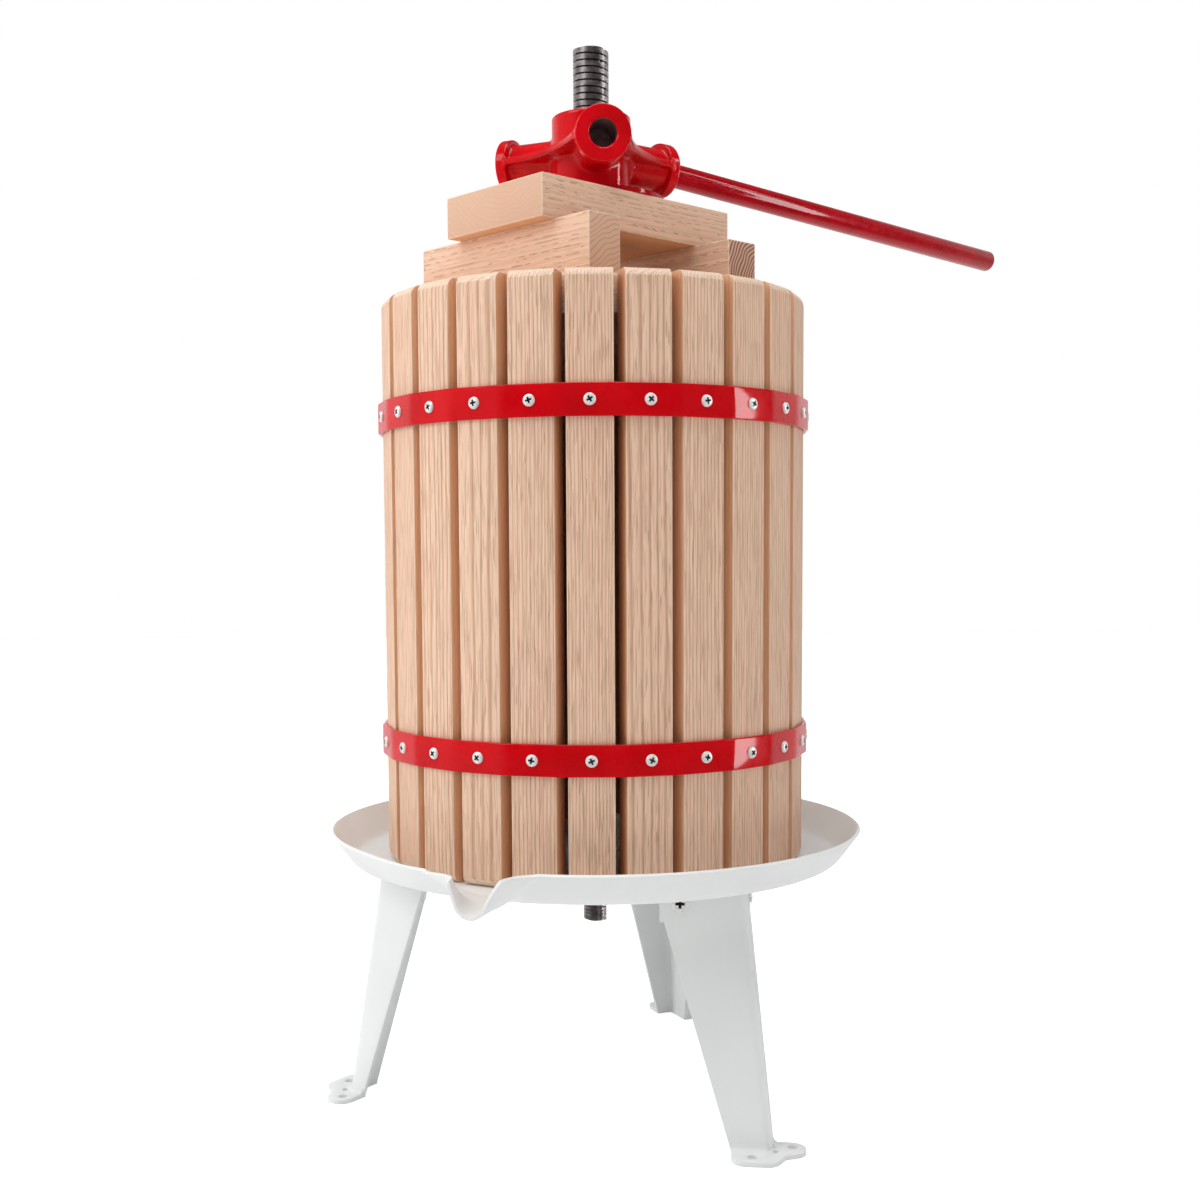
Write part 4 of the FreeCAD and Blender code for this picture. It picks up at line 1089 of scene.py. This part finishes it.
handle = {"azimuth": 126.0, "radius": 8.2, "length": 385.0, "bevel": 3.0, "endHole": 2.4, "endHoleDepth": 6.0,
          "inserted": 25.0, "seatGap": 0.08}


def buildHandle():
    h = handle
    n = castNut
    r, length = h["radius"], h["length"]
    profile = [(0, 0), (r - 0.4, 0), (r, 0.4), (r, length - h["bevel"] - 0.8),
               (r - 0.35, length - h["bevel"]), (r - h["bevel"] + 0.4, length - 0.35),
               (r - h["bevel"] - 0.4, length), (h["endHole"] + 0.4, length),
               (h["endHole"], length - 0.4), (h["endHole"], length - h["endHoleDepth"]),
               (0, length - h["endHoleDepth"] - 1.2)]
    piece = newPiece("handleBar", lathe("handleBar", profile, 48), barPaint, 35)
    piece.data.transform(rotation(90, "Y"))
    slack = n["bore"] - r - h["seatGap"]
    droop = math.atan(2 * slack / h["inserted"])
    lean = facing(h["azimuth"]) @ Matrix.Rotation(droop, 4, "Y")
    pivot = towards(h["azimuth"]) * (n["reach"] - h["inserted"] / 2) + Vector((0, 0, n["base"] + n["axis"]))
    start = pivot - lean @ Vector((h["inserted"] / 2 / math.cos(droop), 0, 0))
    piece.data.transform(Matrix.Translation(start * mm) @ lean)
    assign(piece, "handle", "red_paint", "handle")


thrustPlate = {"radius": 50.0, "hole": 14.0, "thickness": 3.5, "level": 615.0, "edge": 0.5}


def buildThrustPlate():
    p = thrustPlate
    e, low, high = p["edge"], p["level"], p["level"] + p["thickness"]
    profile = [(p["hole"], low + e), (p["hole"] + e, low), (p["radius"] - e, low), (p["radius"], low + e),
               (p["radius"], high - e), (p["radius"] - e, high), (p["hole"] + e, high), (p["hole"], high - e)]
    # painted shade: the plate takes the darker bar enamel because it lies in shadow
    piece = newPiece("thrustPlate", lathe("thrustPlate", profile, 72, ring=True), barPaint, 30)
    assign(piece, "press_pack", "red_paint", "thrust_plate")


buildHandle()
buildThrustPlate()
print("handle ready")


view = {"lens": 45.168, "place": (-0.01816, -1.0572, 0.375), "down": 4.293, "roll": -0.379,
        "shiftX": 0.0265, "shiftY": 0.058, "lampAim": (0, 0, 0.36)}
floorLook = {"reach": 6.0, "level": -0.0004, "seenGlow": 0.66, "bouncedGlow": 0.10}
lamps = {
    "key": {"place": (-1.9, -1.3, 2.1), "size": (1.3, 1.2), "power": 20.5, "mirrored": True},
    "top": {"place": (0.0, -0.3, 2.4), "size": (1.4, 1.4), "power": 24, "mirrored": True},
    "front": {"place": (0.25, -2.5, 1.1), "size": (1.4, 1.4), "power": 6, "mirrored": False},
    "right": {"place": (1.7, -1.0, 0.8), "size": (0.9, 1.2), "power": 5, "mirrored": False},
    "left": {"place": (-2.0, 0.0, 0.7), "size": (0.9, 1.2), "power": 13, "mirrored": False},
}


def buildView():
    camera = bpy.data.objects.new("photoView", bpy.data.cameras.new("photoView"))
    camera.data.lens = view["lens"]
    camera.data.sensor_width = 36
    camera.data.shift_x = view["shiftX"]
    camera.data.shift_y = view["shiftY"]
    camera.data.clip_start = 0.01
    camera.matrix_world = (Matrix.Translation(view["place"]) @ rotation(90 - view["down"], "X")
                           @ rotation(view["roll"], "Z"))
    scene.collection.objects.link(camera)
    scene.camera = camera


def buildFloor():
    # a little brighter to the camera than to the light that bounces off it
    r, z = floorLook["reach"], floorLook["level"]
    mesh = bpy.data.meshes.new("floor")
    mesh.from_pydata([(-r, -r, z), (r, -r, z), (r, r, z), (-r, r, z)], [], [(0, 1, 2, 3)])
    material, tree, shader = newMaterial("paleFloor", (0.9, 0.9, 0.9))
    place = addNode(tree, "ShaderNodeTexCoord").outputs["Object"]
    base = mixColour(tree, noiseOver(tree, place, 3.0, 3.0), (0.86, 0.86, 0.86), (0.90, 0.90, 0.90))
    tree.links.new(base, shader.inputs["Base Color"])
    shader.inputs["Roughness"].default_value = 0.6
    lit = []
    for strength in (floorLook["bouncedGlow"], floorLook["seenGlow"]):
        glow = addNode(tree, "ShaderNodeEmission", {"Color": (1, 1, 1, 1), "Strength": strength}).outputs[0]
        lit.append(addNode(tree, "ShaderNodeAddShader", {0: shader.outputs[0], 1: glow}).outputs[0])
    seen = addNode(tree, "ShaderNodeLightPath").outputs["Is Camera Ray"]
    shown = addNode(tree, "ShaderNodeMixShader", {0: seen, 1: lit[0], 2: lit[1]}).outputs[0]
    tree.links.new(shown, tree.nodes["Material Output"].inputs["Surface"])
    floor = bpy.data.objects.new("floor", mesh)
    floor.visible_glossy = False
    mesh.materials.append(material)
    scene.collection.objects.link(floor)


def buildWorld():
    scene.world = bpy.data.worlds.new("studio")
    scene.world.use_nodes = True
    tree = scene.world.node_tree
    tree.nodes.clear()
    path = addNode(tree, "ShaderNodeLightPath").outputs
    towardsSky = addNode(tree, "ShaderNodeTexCoord").outputs["Generated"]
    aim = addNode(tree, "ShaderNodeSeparateXYZ", {0: towardsSky}).outputs
    # the room is darker in front and to the right
    behind = between(tree, aim[1], -0.75, 0.35, 0.45, 1.0, smooth=True)
    ambient = times(tree, behind, between(tree, aim[0], -0.9, 0.9, 0.62, 0.27))
    ambient = times(tree, ambient, between(tree, aim[2], 0.3, 0.95, 1.0, 2.0, smooth=True))

    def window(spans, bright):
        # a soft box that only shows as a reflection; spans as (value, low, high, softness)
        lit = between(tree, aim[0], 0.45, 0.55)
        for value, low, high, soft in spans:
            lit = times(tree, lit, between(tree, value, low - soft, low + soft))
            lit = times(tree, lit, between(tree, value, high - soft, high + soft, 1.0, 0.0))
        return times(tree, lit, bright)

    # a tall box to the right for the hoops, a long one above it that follows the bar handle
    hoopBox = window([(aim[1], -0.12, 0.004, 0.002), (aim[2], -0.30, 0.30, 0.03)], 13.0)
    slanted = maths(tree, "ADD", aim[2], times(tree, aim[1], 0.79))
    barBox = window([(aim[1], -0.22, 0.03, 0.04), (slanted, 0.37, 0.53, 0.03)], 9.0)
    mirrored = between(tree, aim[1], 0.14, 0.46, 0.004, 0.9, smooth=True)
    mirrored = times(tree, mirrored, between(tree, aim[2], 0.30, 0.55, 1.0, 0.12))
    for box in (between(tree, aim[0], -0.95, -0.55, 0.50, 0.0, smooth=True), hoopBox, barBox):
        mirrored = maths(tree, "MAXIMUM", mirrored, box)
    glossy = maths(tree, "MAXIMUM", path["Is Glossy Ray"], path["Is Transmission Ray"])
    strength = addNode(tree, "ShaderNodeMix", {0: glossy, 2: ambient, 3: mirrored}).outputs[0]
    strength = addNode(tree, "ShaderNodeMix", {0: path["Is Camera Ray"], 2: strength, 3: 1.0}).outputs[0]
    sky = addNode(tree, "ShaderNodeBackground", {"Color": (1, 1, 1, 1), "Strength": strength})
    addNode(tree, "ShaderNodeOutputWorld", {"Surface": sky.outputs[0]})


def buildLamps():
    for name, look in lamps.items():
        light = bpy.data.lights.new(name, "AREA")
        light.shape = "RECTANGLE"
        light.size, light.size_y = look["size"]
        light.energy = look["power"]
        lamp = bpy.data.objects.new(name, light)
        lamp.visible_glossy = look["mirrored"]
        place = Vector(look["place"])
        aim = (Vector(view["lampAim"]) - place).to_track_quat("-Z", "Y")
        lamp.matrix_world = Matrix.Translation(place) @ aim.to_matrix().to_4x4()
        scene.collection.objects.link(lamp)


buildView()
buildFloor()
buildWorld()
buildLamps()
scene.view_settings.view_transform = "Standard"

print("stage ready")
